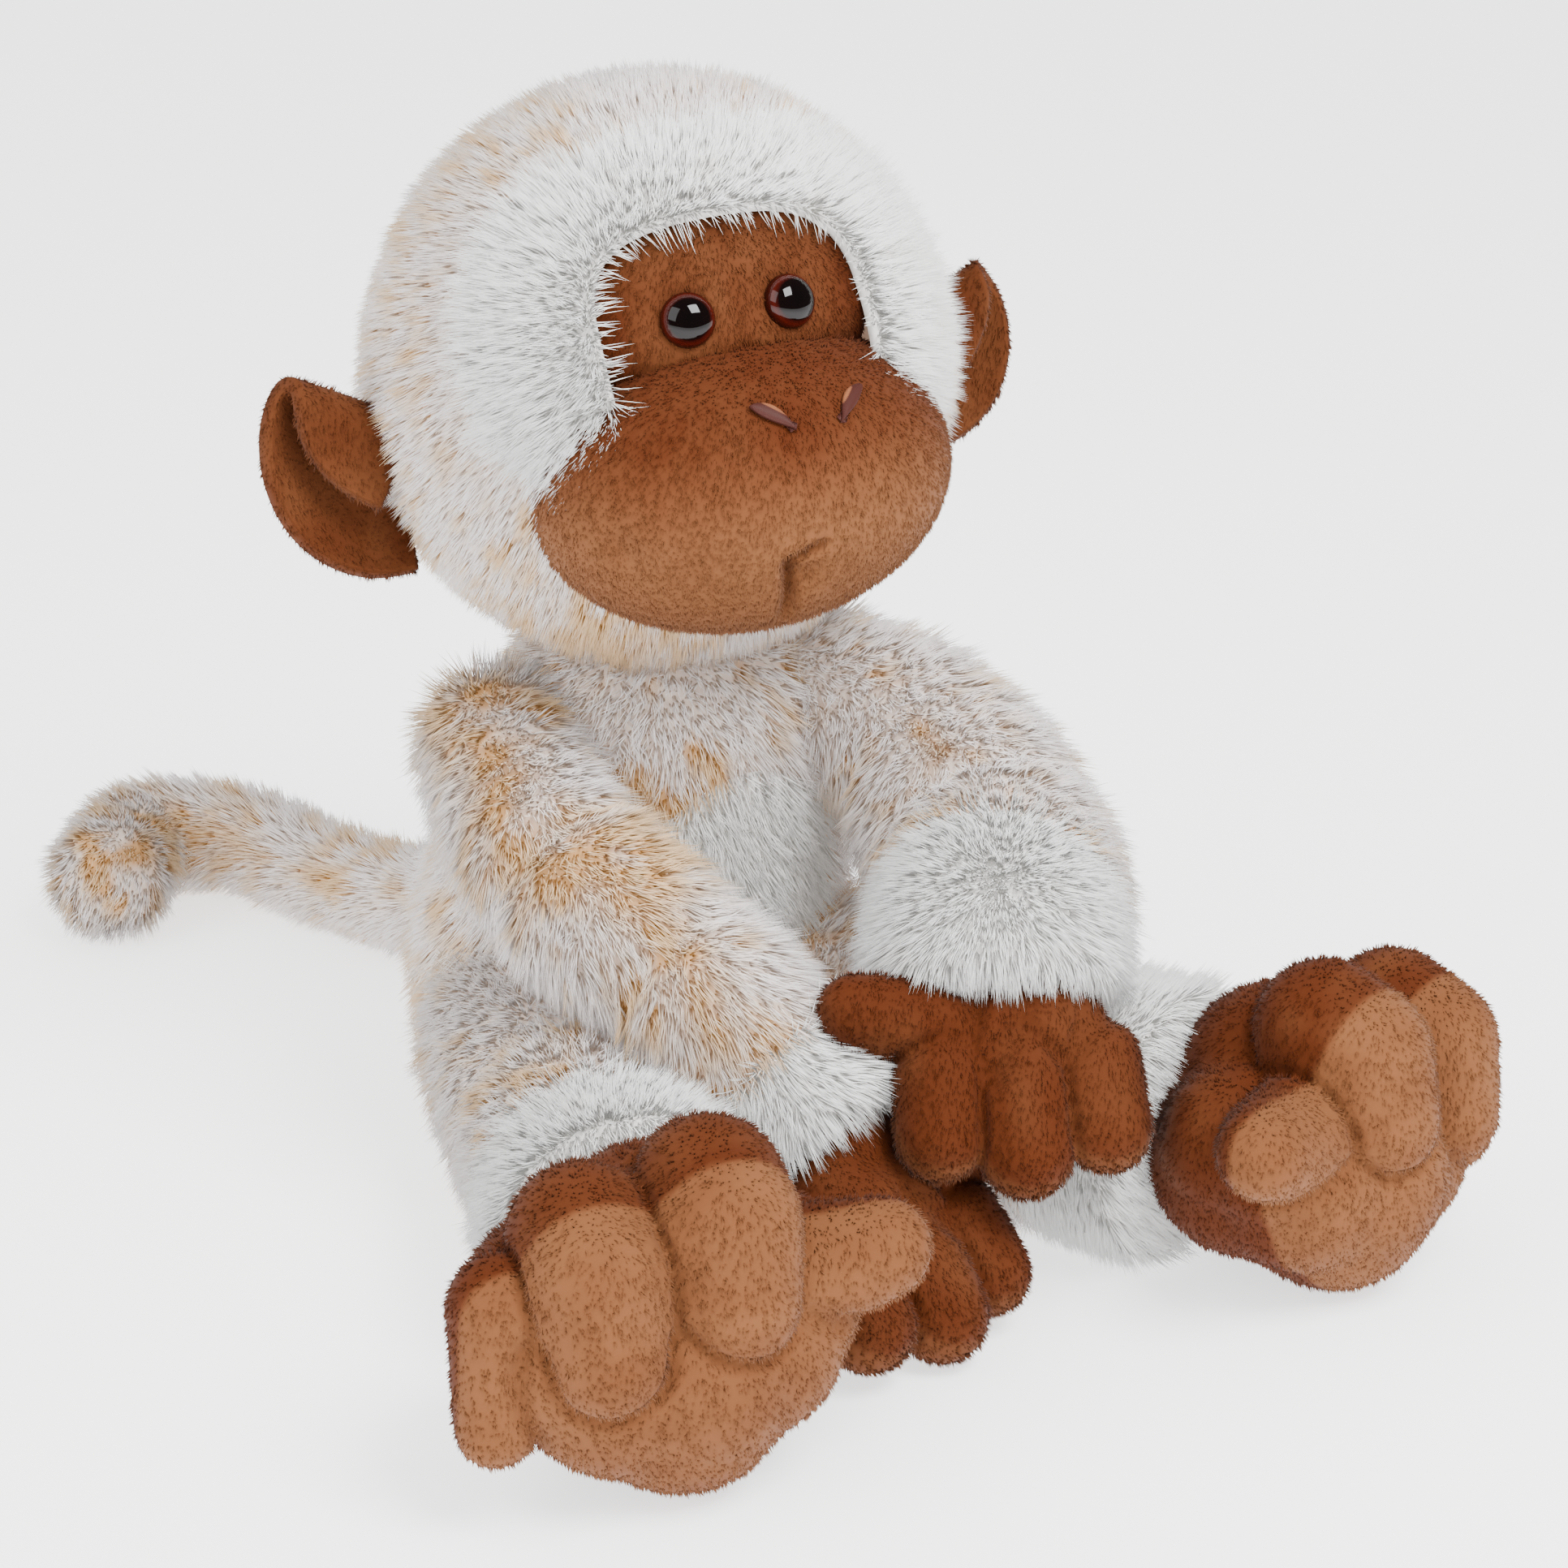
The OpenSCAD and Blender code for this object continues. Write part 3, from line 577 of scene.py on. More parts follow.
grid = head_panel(brow_edge, lambda phi: 0 * phi + np.pi, SKIN, 121, 70)
hood_skin = panel(grid, np.zeros(3), 2.4, wrap=True, caps=(False, True))
under_muzzle = lambda p: ((p - [0, -50, -20]) / [46, 40, 30]) ** 2 @ np.ones(3) > 1
hood_pile = grow_pile(
    hood_skin, 11, 1.4, 6.8, 0.46, from_face, 48.0, 2.4, keep=lambda p: under_muzzle(p) * 1.0, tint=hood_tint
)
make_piece(
    "Hood", "head", frosted_plush, hood_skin, [hood_pile], hood_tint,
    replaces=["hood", "head_stuffing"], place=at_head,
)


# %% Brow panel
def brow_flow(points):
    """Pile falls inwards over the face window near it, and outwards near the hood."""
    way = unit(points)
    off = np.arccos(np.clip(way @ head_way(np.zeros(1), np.zeros(1))[0], -1, 1))
    inward = unit(head_way(np.zeros(1), np.zeros(1)) - way)
    return inward * (0.5 - 1.1 * smoothstep(off, 0.40, 0.78))[:, None] - np.array([0.0, 0.0, 0.25])


grid = head_panel(window_edge, brow_edge, SKIN, 121, 26)
brow_skin = panel(grid, np.zeros(3), 2.4, wrap=True)
brow_pile = grow_pile(
    brow_skin, 12, 3.6, 9.0, 0.38, brow_flow, 34.0, 2.2,
    keep=lambda p: under_muzzle(p) * 1.0, tint=lambda p: fleck(p, 5.0, 8.0, level=0.8),
)
make_piece(
    "Brow_panel", "head", white_plush, brow_skin, [brow_pile],
    replaces=["brow_panel"], place=at_head,
)

# %% [markdown]
# ## Face, muzzle and nose
# The face is a shallow dish of dark minky: the eyes are pulled back by their shanks, so the cloth dimples
# round them. The muzzle is a separate pad, an ellipsoid whose front has a stitched mouth: a short fold
# and a pleat below it, both pulled in by thread.

# %% Face panel
EYES = np.array([[-13.0, -61.0, 26.0], [13.0, -61.0, 26.0]])


def pressed(points, centre, depth, width):
    """How far a dent goes in: depth exp(-(distance / width)^2)."""
    return depth * np.exp(-((points - centre) ** 2).sum(axis=-1) / width**2)


phi = np.linspace(-np.pi, np.pi, 121)[:, None]
f = np.linspace(0.0, 1.0, 40)[None]
way = head_way((window_edge(phi) + 0.05) * f, phi + 0.0 * f)
radius = SKIN - 3.6 - 8.0 * smoothstep(-way[..., 2] * SKIN, -24.0, -2.0)
radius = radius - sum(pressed(way * SKIN, SKIN * unit(eye), 2.2, 9.0) for eye in EYES)
crease = np.exp(-((way[..., 0] * SKIN + 1.0) ** 2) / 3.5) * smoothstep(way[..., 2] * SKIN, 38.0, 12.0)
grid = way * (radius - 1.2 * crease)[..., None]
grid[-1] = grid[0]
face_skin = panel(grid, np.zeros(3), 2.0, wrap=True, caps=(True, False))


def face_tint(points):
    """Nap rubbed light and dark in streaks, and darker towards the sides."""
    streak = mottle(points * [1.0, 1.0, 0.35], 5.0, 21.0)
    edge = smoothstep(np.abs(points[:, 0]), 20.0, 33.0)
    return 0.6 + 0.3 * streak + 0.2 * edge


face_pile = grow_pile(face_skin, 13, 2.0, 1.7, 0.45, (0.0, 0.0, -1.0), 55.0, 2.0, tint=face_tint)
make_piece(
    "Face_panel", "head", brown_minky, face_skin, [face_pile], face_tint, 0.4,
    ["face_panel"], at_head,
)

# %% Muzzle
MUZZLE_MIDDLE = np.array([0.0, -50.0, -16.5])
MUZZLE_HALF = np.array([50.5, 43.0, 37.5])


def muzzle_point(theta, phi):
    """Ellipsoid round the -Y axis: middle + half * (sin theta sin phi, -cos theta, sin theta cos phi)."""
    theta, phi = np.broadcast_arrays(theta, phi)
    return MUZZLE_MIDDLE + MUZZLE_HALF * np.stack(
        [np.sin(theta) * np.sin(phi), -np.cos(theta), np.sin(theta) * np.cos(phi)], axis=-1
    )


def mouth_depth(p):
    """Depth of the mouth: a pleat straight down from the corner, and a fold up to the toy's left, each a groove
    d exp(-(off the line / width)^2), faded at its ends, with a dent beside the pleat."""
    x, z = p[..., 0], p[..., 2]
    pleat = 4.4 * np.exp(-(((x + 5.0) - 0.18 * (-28.0 - z)) / 1.7) ** 2)
    pleat = pleat * smoothstep(z, -25.5, -30.0) * smoothstep(z, -50.0, -40.0)
    along = (x + 5.4) / 9.0
    fold = 3.6 * np.exp(-((z + 28.4 - 3.4 * along) / 1.5) ** 2)
    fold = fold * smoothstep(along, -0.2, 0.1) * smoothstep(along, 1.25, 0.8)
    dent = pressed(np.stack([x, z], -1), [-1.0, -33.0], 3.0, 4.6)
    dimple = pressed(p, [-39.4, -74.9, -20.4], 1.5, 4.5)
    return (pleat + fold + dent + dimple) * (p[..., 1] < -52.0)


theta = np.linspace(0.0, np.pi, 150)[None]
phi = np.linspace(-np.pi, np.pi, 241)[:, None]
grid = muzzle_point(theta, phi)
cheeks = 1.0 + 0.035 * np.cos(2 * (phi - np.pi / 2)) * np.sin(theta) ** 2
grid = MUZZLE_MIDDLE + (grid - MUZZLE_MIDDLE) * cheeks[..., None]
grid = grid - unit((grid - MUZZLE_MIDDLE) / MUZZLE_HALF**2) * mouth_depth(grid)[..., None]
grid[-1] = grid[0]
muzzle_skin = panel(grid, MUZZLE_MIDDLE, wrap=True, caps=(True, True))


def muzzle_tint(points):
    """Darker above, where the nap lies away, and lighter below, with a fine vertical speckle, and painted shade
    that darkens the grooves of the mouth.
    """
    rise = smoothstep(points[:, 2], -34.0, 4.0)
    speckle = mottle(points * [1.0, 1.0, 0.3], 1.6, 5.0)
    # The last term darkens the mouth's grooves by their depth: painted shade in the creases.
    return 0.8 * rise**1.6 - 0.08 + 0.12 * speckle + 0.2 * mottle(points, 14.0, 2.0) + 0.06 * mouth_depth(points)


outside_head = lambda p: 1.0 * (np.linalg.norm(p, axis=1) > SKIN - 14.0)
muzzle_pile = grow_pile(
    muzzle_skin, 14, 1.6, 1.6, 0.45, (0.0, 0.0, -1.0), 60.0, 1.5, keep=outside_head, tint=muzzle_tint
)
make_piece(
    "Muzzle", "head", brown_minky, muzzle_skin, [muzzle_pile], muzzle_tint, 0.45,
    ["muzzle", "muzzle_stuffing"], at_head,
)

# %% Nostrils
def on_muzzle(x, z):
    """Front of the muzzle above a place: y = middle - half_y sqrt(1 - (x / half_x)^2 - (z / half_z)^2)."""
    dx, dz = x / MUZZLE_HALF[0], (z - MUZZLE_MIDDLE[2]) / MUZZLE_HALF[2]
    y = MUZZLE_MIDDLE[1] - MUZZLE_HALF[1] * np.sqrt(np.clip(1.0 - dx**2 - dz**2, 0.0, 1.0))
    return np.stack([x, y, z], axis=-1)


satin, tree = new_material("satin_thread")
weave = add(tree, "ShaderNodeUVMap", uv_map="Nap")
split = add(tree, "ShaderNodeSeparateXYZ", {0: weave.outputs[0]})
# The lighter rim round each nostril is a painted highlight of the satin thread's sheen.
edge = add(tree, "ShaderNodeMapRange", {"Value": split.outputs["Y"]}, {"From Min": 0.66, "From Max": 0.76})
thread_and_painted_highlight = {6: srgb("#3F1D17"), 7: srgb("#7C4A2E")}
tone = add(tree, "ShaderNodeMix", {0: edge.outputs[0]}, thread_and_painted_highlight, data_type="RGBA")
shader = add(
    tree, "ShaderNodeBsdfPrincipled", {"Base Color": tone.outputs[2]},
    {"Roughness": 0.6, "Specular IOR Level": 0.2},
)
add(tree, "ShaderNodeOutputMaterial", {"Surface": shader.outputs[0]})


def nostril(name, node, start, end, half_w, bow):
    """A padded leaf of stitches: half width w sin(pi t^0.8) along a bowed line from start to end, and domed as
    the root of 1 - b^2 across it."""
    t, b = np.linspace(0.0, 1.0, 49)[:, None], np.linspace(-1.0, 1.0, 17)[None]
    line = np.array(start) + (np.array(end) - np.array(start)) * t[..., None]
    across = unit(np.array([start[1] - end[1], end[0] - start[0]]))
    w = half_w * np.sin(np.pi * t**0.8)
    flat = line + across * (bow * np.sin(np.pi * t) + w * b)[..., None]
    grid = on_muzzle(flat[..., 0], flat[..., 1])
    stitch = 0.16 * np.cos(2 * np.pi * 24 * t)
    raised = (1.1 + stitch) * np.sqrt(np.clip(1 - b**2, 0, 1)) + 0.5
    tapered = np.minimum(1, 4 * np.sin(np.pi * t)) ** 0.5
    grid = grid + unit(grid - MUZZLE_MIDDLE) * raised[..., None] * tapered[..., None]
    skin = panel(grid, MUZZLE_MIDDLE, 1.6)
    piece = make_piece(name, "head", satin, skin, replaces=[node], place=at_head)
    near = skin["verts"][skin["tris"].ravel()]
    off = np.abs((near[:, [0, 2]] - np.array(start)) @ across - bow * 0.6) / half_w
    uv = np.stack([0.5 + 0 * off, np.clip(off * 0.75, 0.0, 1.0)], axis=1)
    for layer in piece.data.uv_layers:
        layer.data.foreach_set("uv", uv.astype(np.float32).ravel())


nostril("Nostril_right", "nostril_right", (-8.0, 8.2), (1.0, 2.0), 1.7, 1.0)
nostril("Nostril_left", "nostril_left", (21.5, 7.2), (12.4, 1.6), 1.7, -0.8)

# %% Eyes
eye_plastic, tree = new_material("polished_acrylic_eye")
ring = add(tree, "ShaderNodeUVMap", uv_map="Nap")
split = add(tree, "ShaderNodeSeparateXYZ", {0: ring.outputs[0]})
ramp = add(tree, "ShaderNodeValToRGB", {0: split.outputs["X"]})
ramp.color_ramp.elements[0].color, ramp.color_ramp.elements[1].color = srgb("#050303"), srgb("#1E0704")
for place, code in ((0.72, "#080303"), (0.88, "#3A0D07")):
    ramp.color_ramp.elements.new(place).color = srgb(code)
shader = add(
    tree, "ShaderNodeBsdfPrincipled", {"Base Color": ramp.outputs[0]},
    {"Roughness": 0.03, "IOR": 1.49, "Specular IOR Level": 0.3},
)
add(tree, "ShaderNodeOutputMaterial", {"Surface": shader.outputs[0]})

EYE_RADIUS = 6.6  # mm, over the rolled edge
EYE_FRONT, EYE_BACK = 4.6, 2.6  # mm, how far the dome stands before and behind its widest line
EYE_SUNK = 4.6  # mm, how far that line lies under the ball of the head


def eye(name, node, place):
    """A lathe form, turned about the line out of the face: half an ellipse in front and a flatter half behind."""
    a = np.linspace(0.0, np.pi, 60)[None]
    turn = np.linspace(-np.pi, np.pi, 65)[:, None]
    out = EYE_RADIUS * np.sin(a) ** 0.9
    high = np.where(a < np.pi / 2, EYE_FRONT * np.cos(a), EYE_BACK * np.cos(a))
    axis = unit(place * [1.0, 1.0, 0.7])
    side = unit(np.cross(axis, [0.0, 0.0, 1.0]))
    top = np.cross(side, axis)
    middle = unit(place) * (SKIN - EYE_SUNK)
    spoke = np.sin(turn)[..., None] * side + np.cos(turn)[..., None] * top
    grid = middle + axis * high[..., None] + out[..., None] * spoke
    grid[-1] = grid[0]
    skin = panel(grid, middle, wrap=True, caps=(True, True))
    nodes = [node, node.replace("eye", "eye_washer")]
    piece = make_piece(name, "head", eye_plastic, skin, replaces=nodes, place=at_head)
    corners = skin["verts"][skin["tris"].ravel()] - middle
    off = np.linalg.norm(corners - axis * (corners @ axis)[:, None], axis=1) / EYE_RADIUS
    uv = np.stack([np.clip(off, 0, 1), 0.5 + 0 * off], axis=1)
    for layer in piece.data.uv_layers:
        layer.data.foreach_set("uv", uv.astype(np.float32).ravel())


eye("Eye_right", "eye_right", EYES[0])
eye("Eye_left", "eye_left", EYES[1])

# %% [markdown]
# ## Ears
# Each ear is a leaf of two layers of minky, gathered to a narrow root at the side of the head. Its upper part
# folds over forwards and makes the hollow. A fold is a roll: what lies q beyond the fold line goes round a
# cylinder of small radius, and then lies flat, back over the leaf.

# %% Ear
EAR_ROOT = np.array([BALL - 7.0, 1.0, -8.0])
EAR_FOLD, FOLD_RADIUS = 30.0, 3.2  # degrees above level, and mm
EAR_OUTLINE = np.array([  # angle above level in degrees, and length of the leaf from its root in mm
    (-84.0, 29.0), (-60.0, 32.0), (-25.0, 35.0), (10.0, 36.5),
    (30.0, 37.0), (50.0, 35.0), (80.0, 31.0), (110.0, 27.0),
])


def ear_reach(turn):
    """Length of the leaf at an angle: longest 30 degrees above level, and less on both sides of that."""
    return np.interp(turn, EAR_OUTLINE[:, 0], EAR_OUTLINE[:, 1])


def ear(name, nodes, body, side, scale):
    """The leaf with its fold, made on the toy's left and mirrored where side is -1."""
    turn = np.linspace(-84.0, 110.0, 90)[:, None]
    f = np.linspace(0.04, 1.0, 30)[None]
    reach = np.convolve(np.pad(ear_reach(turn[:, 0]), 6, mode="edge"), np.ones(13) / 13, "valid")[:, None] * f
    angle = np.radians(turn - EAR_FOLD)
    along, q = reach * np.cos(angle), reach * np.sin(angle)
    roll = np.clip(q / FOLD_RADIUS, 0.0, np.pi * 0.93)
    past = np.maximum(q - FOLD_RADIUS * np.pi * 0.93, 0.0)
    over = np.where(q > 0, FOLD_RADIUS * np.sin(roll) - past * 0.97, q)
    front = np.where(q > 0, -FOLD_RADIUS * (1 - np.cos(roll)) - past * 0.1, 0.0)
    fold = math.radians(EAR_FOLD)
    x = along * math.cos(fold) - over * math.sin(fold)
    z = along * math.sin(fold) + over * math.cos(fold)
    cup = -9.0 * (f**2.2) * np.clip(np.cos(np.radians(turn + 20.0)), 0.0, 1.0) + 3.0 * np.sin(np.pi * f)
    y = front + cup + 0.16 * x
    grid = EAR_ROOT + scale * np.stack([x, y, z], axis=-1)
    skin = panel(grid, grid + [0.0, 4.0, 0.0], 3.6)
    verts = skin["verts"] * [side, 1.0, 1.0]
    skin["verts"] = verts
    if side < 0:
        skin["tris"] = skin["tris"][:, ::-1]
    skin["outside"] = np.ones(len(skin["tris"]), bool)
    tint = lambda p: 0.6 + 0.35 * mottle(p * [1.0, 1.0, 0.5], 7.0, 31.0)
    strands = grow_pile(skin, 15 + int(side), 1.2, 1.6, 0.45, (0.0, 0.0, -1.0), 55.0, 2.0, tint=tint)
    make_piece(name, body, brown_minky, skin, [strands], tint, 0.4, nodes, at_head)


ear("Ear_right", ["ear_back_right", "ear_lining_right"], "ear_right", -1.0, 1.0)
ear("Ear_left", ["ear_back_left", "ear_lining_left"], "ear_left", 1.0, 0.86)

# %% [markdown]
# ## Torso
# The body is a pear on a flat seat. Level rings are carried up one curved middle line, and the panels are
# sectors of it: a frosted back, a frosted bib over the chest, and a white belly patch whose top seam is an arch.

# %% Torso surface
TORSO_KEYS = [  # radius, height, and the middle's x and y, mm
    (0.0, 1.2, 0, 0), (30, 1.2, 0, 0), (45, 8, 0, 0), (52, 27, 0, 0), (54, 52, 1, 0), (51.5, 76, 3, -4),
    (45.5, 100, 5, -8), (40, 119, 6, -10), (30, 136, 6, -10), (14, 146, 6, -10), (0, 148, 6, -10),
]
TORSO_LINE = smooth_path(TORSO_KEYS, 240)


def torso_point(turn, s):
    """Ring point at turn from straight ahead: middle(s) + radius(s) (sin turn, -cos turn, 0), a little uneven."""
    turn, s = np.broadcast_arrays(turn, s)
    at = np.linspace(0.0, 1.0, len(TORSO_LINE))
    r, z, x, y = (np.interp(s, at, TORSO_LINE[:, k]) for k in range(4))
    r = r * (1.0 + 0.02 * np.sin(3 * turn + 0.05 * z))
    return np.stack([x + r * np.sin(turn), y - r * np.cos(turn), z], axis=-1)


def height_at(z):
    """The share s of the way up the torso's line at which it first reaches the height z."""
    return np.interp(z, TORSO_LINE[:, 1], np.linspace(0.0, 1.0, len(TORSO_LINE)))


FIELD = 0.74  # half angle of the front panels
arch = lambda turn: height_at(108.0) - 0.10 * (np.abs(turn - 0.1) / FIELD) ** 2
down = np.array([0.0, 0.0, -1.0])


def torso_panel(name, first, last, low, high, rows, columns, caps, node, material, tint, seed, replaces=()):
    """The sector of the torso from turn first to turn last, between the seams low(turn) and high(turn)."""
    turn = np.linspace(first, last, rows)[:, None]
    s = low(turn) + (high(turn) - low(turn)) * np.linspace(0.0, 1.0, columns)[None]
    grid = torso_point(turn, s)
    skin = panel(grid, np.array([3.0, -3.0, 70.0]), 2.4, caps=caps)
    seen = lambda p: np.where(p[:, 2] < 2.0, 0.05, 1.0)
    strands = grow_pile(skin, seed, 1.05, 8.2, 0.54, down, 50.0, 3.0, keep=seen, tint=tint, wild=0.75)
    make_piece(
        name, "torso", material, skin, [strands], tint, replaces=[node, *replaces]
    )


body_tint = lambda p: fleck(p, 5.5, 12.0, level=0.6)
nothing, everything = (lambda turn: 0.0 * turn), (lambda turn: 0.0 * turn + 1.0)
torso_panel(
    "Torso_back", FIELD, 2 * np.pi - FIELD, nothing, everything, 110, 60, (True, True),
    "torso_back", frosted_plush, body_tint, 21, ["torso_stuffing", "seat_panel"],
)
torso_panel(
    "Chest_bib", -FIELD, FIELD, arch, everything, 40, 26, (False, True),
    "chest_bib", frosted_plush, body_tint, 22,
)
torso_panel(
    "Belly_patch", -FIELD, FIELD, nothing, arch, 40, 40, (True, False),
    "belly_patch", white_plush, lambda p: 0.4 + 0.0 * p[:, 0], 23,
)

# %% [markdown]
# ## Arms
# An arm is one tube of frosted plush with a white cuff sewn to its end. It is a round profile carried along
# a bent path, with the soft folds that the bends of a loosely filled sleeve make.

# %% Sleeves and cuffs
def limb(side_name, kind, keys, cuff_length, flare, folds, base_tint, body, seed, length=9.5, streak=None):
    """One tube, cut across at the cuff. folds lists (where along, depth, width, angle) of creases round the tube,
    and streak is (angle, half width, strength) of a tan stripe along it, where the pile parts."""
    rows = 96
    grid, centre, ahead = tube(keys, rows, 73, round_end=False)
    run = np.concatenate([[0.0], np.cumsum(np.linalg.norm(np.diff(centre, axis=0), axis=1))])
    cut = int(np.argmin(np.abs(run - (run[-1] - cuff_length))))
    out = grid - centre
    uneven = mottle(grid.reshape(-1, 3), 22.0, seed).reshape(grid.shape[:2])
    swell = 1.0 + 0.07 * (uneven - 0.5) + flare * smoothstep(run, run[cut], run[-1])
    swell = swell * (1.0 - 0.45 * smoothstep(run, run[-1] - 5.0, run[-1]) ** 2)
    b = np.linspace(0.0, 2 * np.pi, grid.shape[0])[:, None]
    for where, depth, width, facing in folds:
        crease = np.exp(-(((run - where * run[-1]) / width) ** 2))
        swell = swell - depth * crease * (0.5 + 0.5 * np.cos(b - facing))
    grid = centre + out * swell[..., None]
    grid[-1] = grid[0]
    grid = rest_on_floor(grid, 1.0)

    def course(points):
        """Pile lies along the limb, towards its end, and a little down."""
        near = np.argmin(((points[:, None, :] - centre[None, ::8]) ** 2).sum(axis=2), axis=1)
        return ahead[::8][near] + 0.35 * down

    side = unit(np.cross(ahead, [0.0, 0.0, 1.0]))
    top = np.cross(side, ahead)

    def tint(points):
        """The frosting, and on it the stripe: strength exp(-((angle - a) / w)^2), broken up by noise."""
        if streak is None:
            return base_tint(points)
        near = np.argmin(((points[:, None, :] - centre[None, ::4]) ** 2).sum(axis=2), axis=1)
        off = points - centre[::4][near]
        angle = np.arctan2((off * side[::4][near]).sum(axis=1), (off * top[::4][near]).sum(axis=1))
        away = (angle - streak[0] - 0.25 * np.sin(near * 0.7)) / streak[1]
        broken = 0.35 + 0.9 * mottle(points, 5.0, 5.0)
        return np.maximum(base_tint(points), streak[2] * np.exp(-(away**2)) * broken)

    sleeve = panel(grid[:, : cut + 1], centre[: cut + 1], 2.4, wrap=True, caps=(True, False))
    cuff = panel(grid[:, cut:], centre[cut:], 2.6, wrap=True)
    seen = lambda p: np.where(p[:, 2] < 1.5, 0.1, 1.0)
    strands = grow_pile(sleeve, seed, 1.3, length, 0.5, course, 50.0, 3.0, keep=seen, tint=tint, wild=0.75)
    names = [f"{kind}_sleeve_{side_name}", f"{kind}_cuff_{side_name}", f"{kind}_stuffing_{side_name}"]
    make_piece(
        names[0].capitalize(), body, frosted_plush, sleeve, [strands], tint,
        replaces=[names[0], names[2]],
    )
    white_tint = lambda p: fleck(p, 5.0, 3.0, level=0.8)
    white = grow_pile(cuff, seed + 1, 2.2, length, 0.44, course, 42.0, 2.4, keep=seen, tint=white_tint)
    make_piece(
        names[1].capitalize(), body, white_plush, cuff, [white],
        replaces=[names[1]],
    )


def route(joint, steps, radii):
    """Limb keys (x, y, z, radius) from a joint's place and the steps of its middle line from there."""
    start = np.array(JOINTS[joint]["pos_m"]) / MM
    return np.column_stack([start + np.array(steps, float), radii])


arm_tint = lambda p: fleck(p, 5.5, 17.0, level=0.6)
RIGHT_ARM_STEPS = [(0, 0, 0), (-6, -36, -14), (0, -61, -25), (11, -86, -39), (29, -112, -68)]
LEFT_ARM_STEPS = [(0, 0, -2), (11, -24, -9), (13.5, -46, -20), (8, -71, -30), (-9, -96, -36), (-14, -105, -45)]
limb(
    "right", "arm", route("shoulder_right", RIGHT_ARM_STEPS, [18.5, 20, 20.5, 20.5, 20.5]),
    22.0, 0.1, [(0.42, 0.12, 5.0, 1.2), (0.66, 0.14, 6.0, 1.0)], arm_tint, "arm_right", 31,
    streak=(0.75, 0.42, 1.1),
)
limb(
    "left", "arm", route("shoulder_left", LEFT_ARM_STEPS, [20, 23, 27, 27.5, 27, 26]),
    30.0, 0.06, [(0.36, 0.10, 6.0, 3.6), (0.6, 0.08, 6.0, 5.0)], arm_tint, "arm_left", 33, streak=(2.4, 0.4, 0.7),
)
print("arms done")

# %% Legs
LEG_END = {"right": (-33, -114, 3), "left": (44, -126, 4)}  # mm from the hip to the cuff's open end
for side_name, side in (("right", -1.0), ("left", 1.0)):
    keys = route(f"hip_{side_name}", [(0, 0, 3), (side * 16, -56, 3), LEG_END[side_name]], [30.0, 30.5, 30.0])
    knee = [(0.55, 0.05, 8.0, 0.5)]
    limb(side_name, "leg", keys, 34.0, 0.08, knee, body_tint, f"leg_{side_name}", 35 + int(side), 9.0)

# %% Tail
tail_root = np.array(JOINTS["tail_swing"]["pos_m"]) / MM
tail_steps = [(0, 0, 0), (-8, 44, -16), (-16, 92, -23), (-30, 134, -22), (-56, 146, -21), (-76, 122, -21)]
keys = np.column_stack([tail_root + np.array(tail_steps, float), [13.0, 12.5, 12.5, 13.5, 15.0, 15.5]])
grid, centre, ahead = tube(keys, 110, 49)
grid = rest_on_floor(grid, 1.0)
tail_skin = panel(grid, centre, wrap=True, caps=(True, True))


def tail_course(points):
    """Pile lies along the tail, towards its tip, and a little down."""
    near = np.argmin(((points[:, None, :] - centre[None, ::6]) ** 2).sum(axis=2), axis=1)
    return ahead[::6][near] + 0.3 * down


off_the_floor = lambda p: np.where(p[:, 2] < 1.5, 0.1, 1.0)
tail_pile = grow_pile(
    tail_skin, 41, 1.1, 8.0, 0.52, tail_course, 50.0, 3.2, keep=off_the_floor, tint=body_tint
)
tail = make_piece(
    "Tail", None, frosted_plush, tail_skin, [tail_pile], body_tint,
    replaces=["tail_base", "tail_base_stuffing", "tail_tip", "tail_tip_stuffing"],
)
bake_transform(tail)

# %% [markdown]
# ## Hands and feet
# These are lobed minky pads: fingers and toes are one bag of cloth with seams pulled in between the lobes.
# The lobes are rows of balls joined by a voxel remesh. Then a short cloth simulation blows the bag up from
# inside, held along the seams, which is what the filling does, and the seams are pulled in a little further.

# %% Filling a bag of cloth
PRESSURE, FRAMES, MOST_SWELL = 4.0, 20, 2.6  # the last is how far, in mm, a point may move


def row_of_balls(start, end, first_r, last_r, count=7):
    """count balls from start to end, as (x, y, z, radius) rows."""
    t = np.linspace(0.0, 1.0, count)[:, None]
    return np.concatenate([np.array(start) * (1 - t) + np.array(end) * t, first_r * (1 - t) + last_r * t], axis=1)


def loose_balls(balls):
    """Spheres middle + r (sin a cos b, sin a sin b, cos a) as one mesh."""
    a, b = np.linspace(0.0, np.pi, 13)[:, None], np.linspace(0.0, 2 * np.pi, 25)[None]
    ball = np.stack([np.sin(a) * np.cos(b), np.sin(a) * np.sin(b), np.cos(a) + 0.0 * b], axis=-1)
    ball[:, -1] = ball[:, 0]
    points = (balls[:, None, None, :3] + balls[:, None, None, 3:] * ball).reshape(-1, 3)
    tris = (grid_triangles(13, 25)[None] + 325 * np.arange(len(balls))[:, None, None]).reshape(-1, 3)
    verts, tris, real = weld(points, tris)
    return verts, tris[real]


def settled(obj):
    """Applies the modifiers of an object to its mesh and gives its points in mm."""
    bpy.context.view_layer.update()
    mesh = bpy.data.meshes.new_from_object(obj.evaluated_get(bpy.context.evaluated_depsgraph_get()))
    obj.modifiers.clear()
    obj.data = mesh
    co = np.zeros(len(mesh.vertices) * 3, np.float32)
    mesh.vertices.foreach_get("co", co)
    return co.reshape(-1, 3).astype(float) / MM


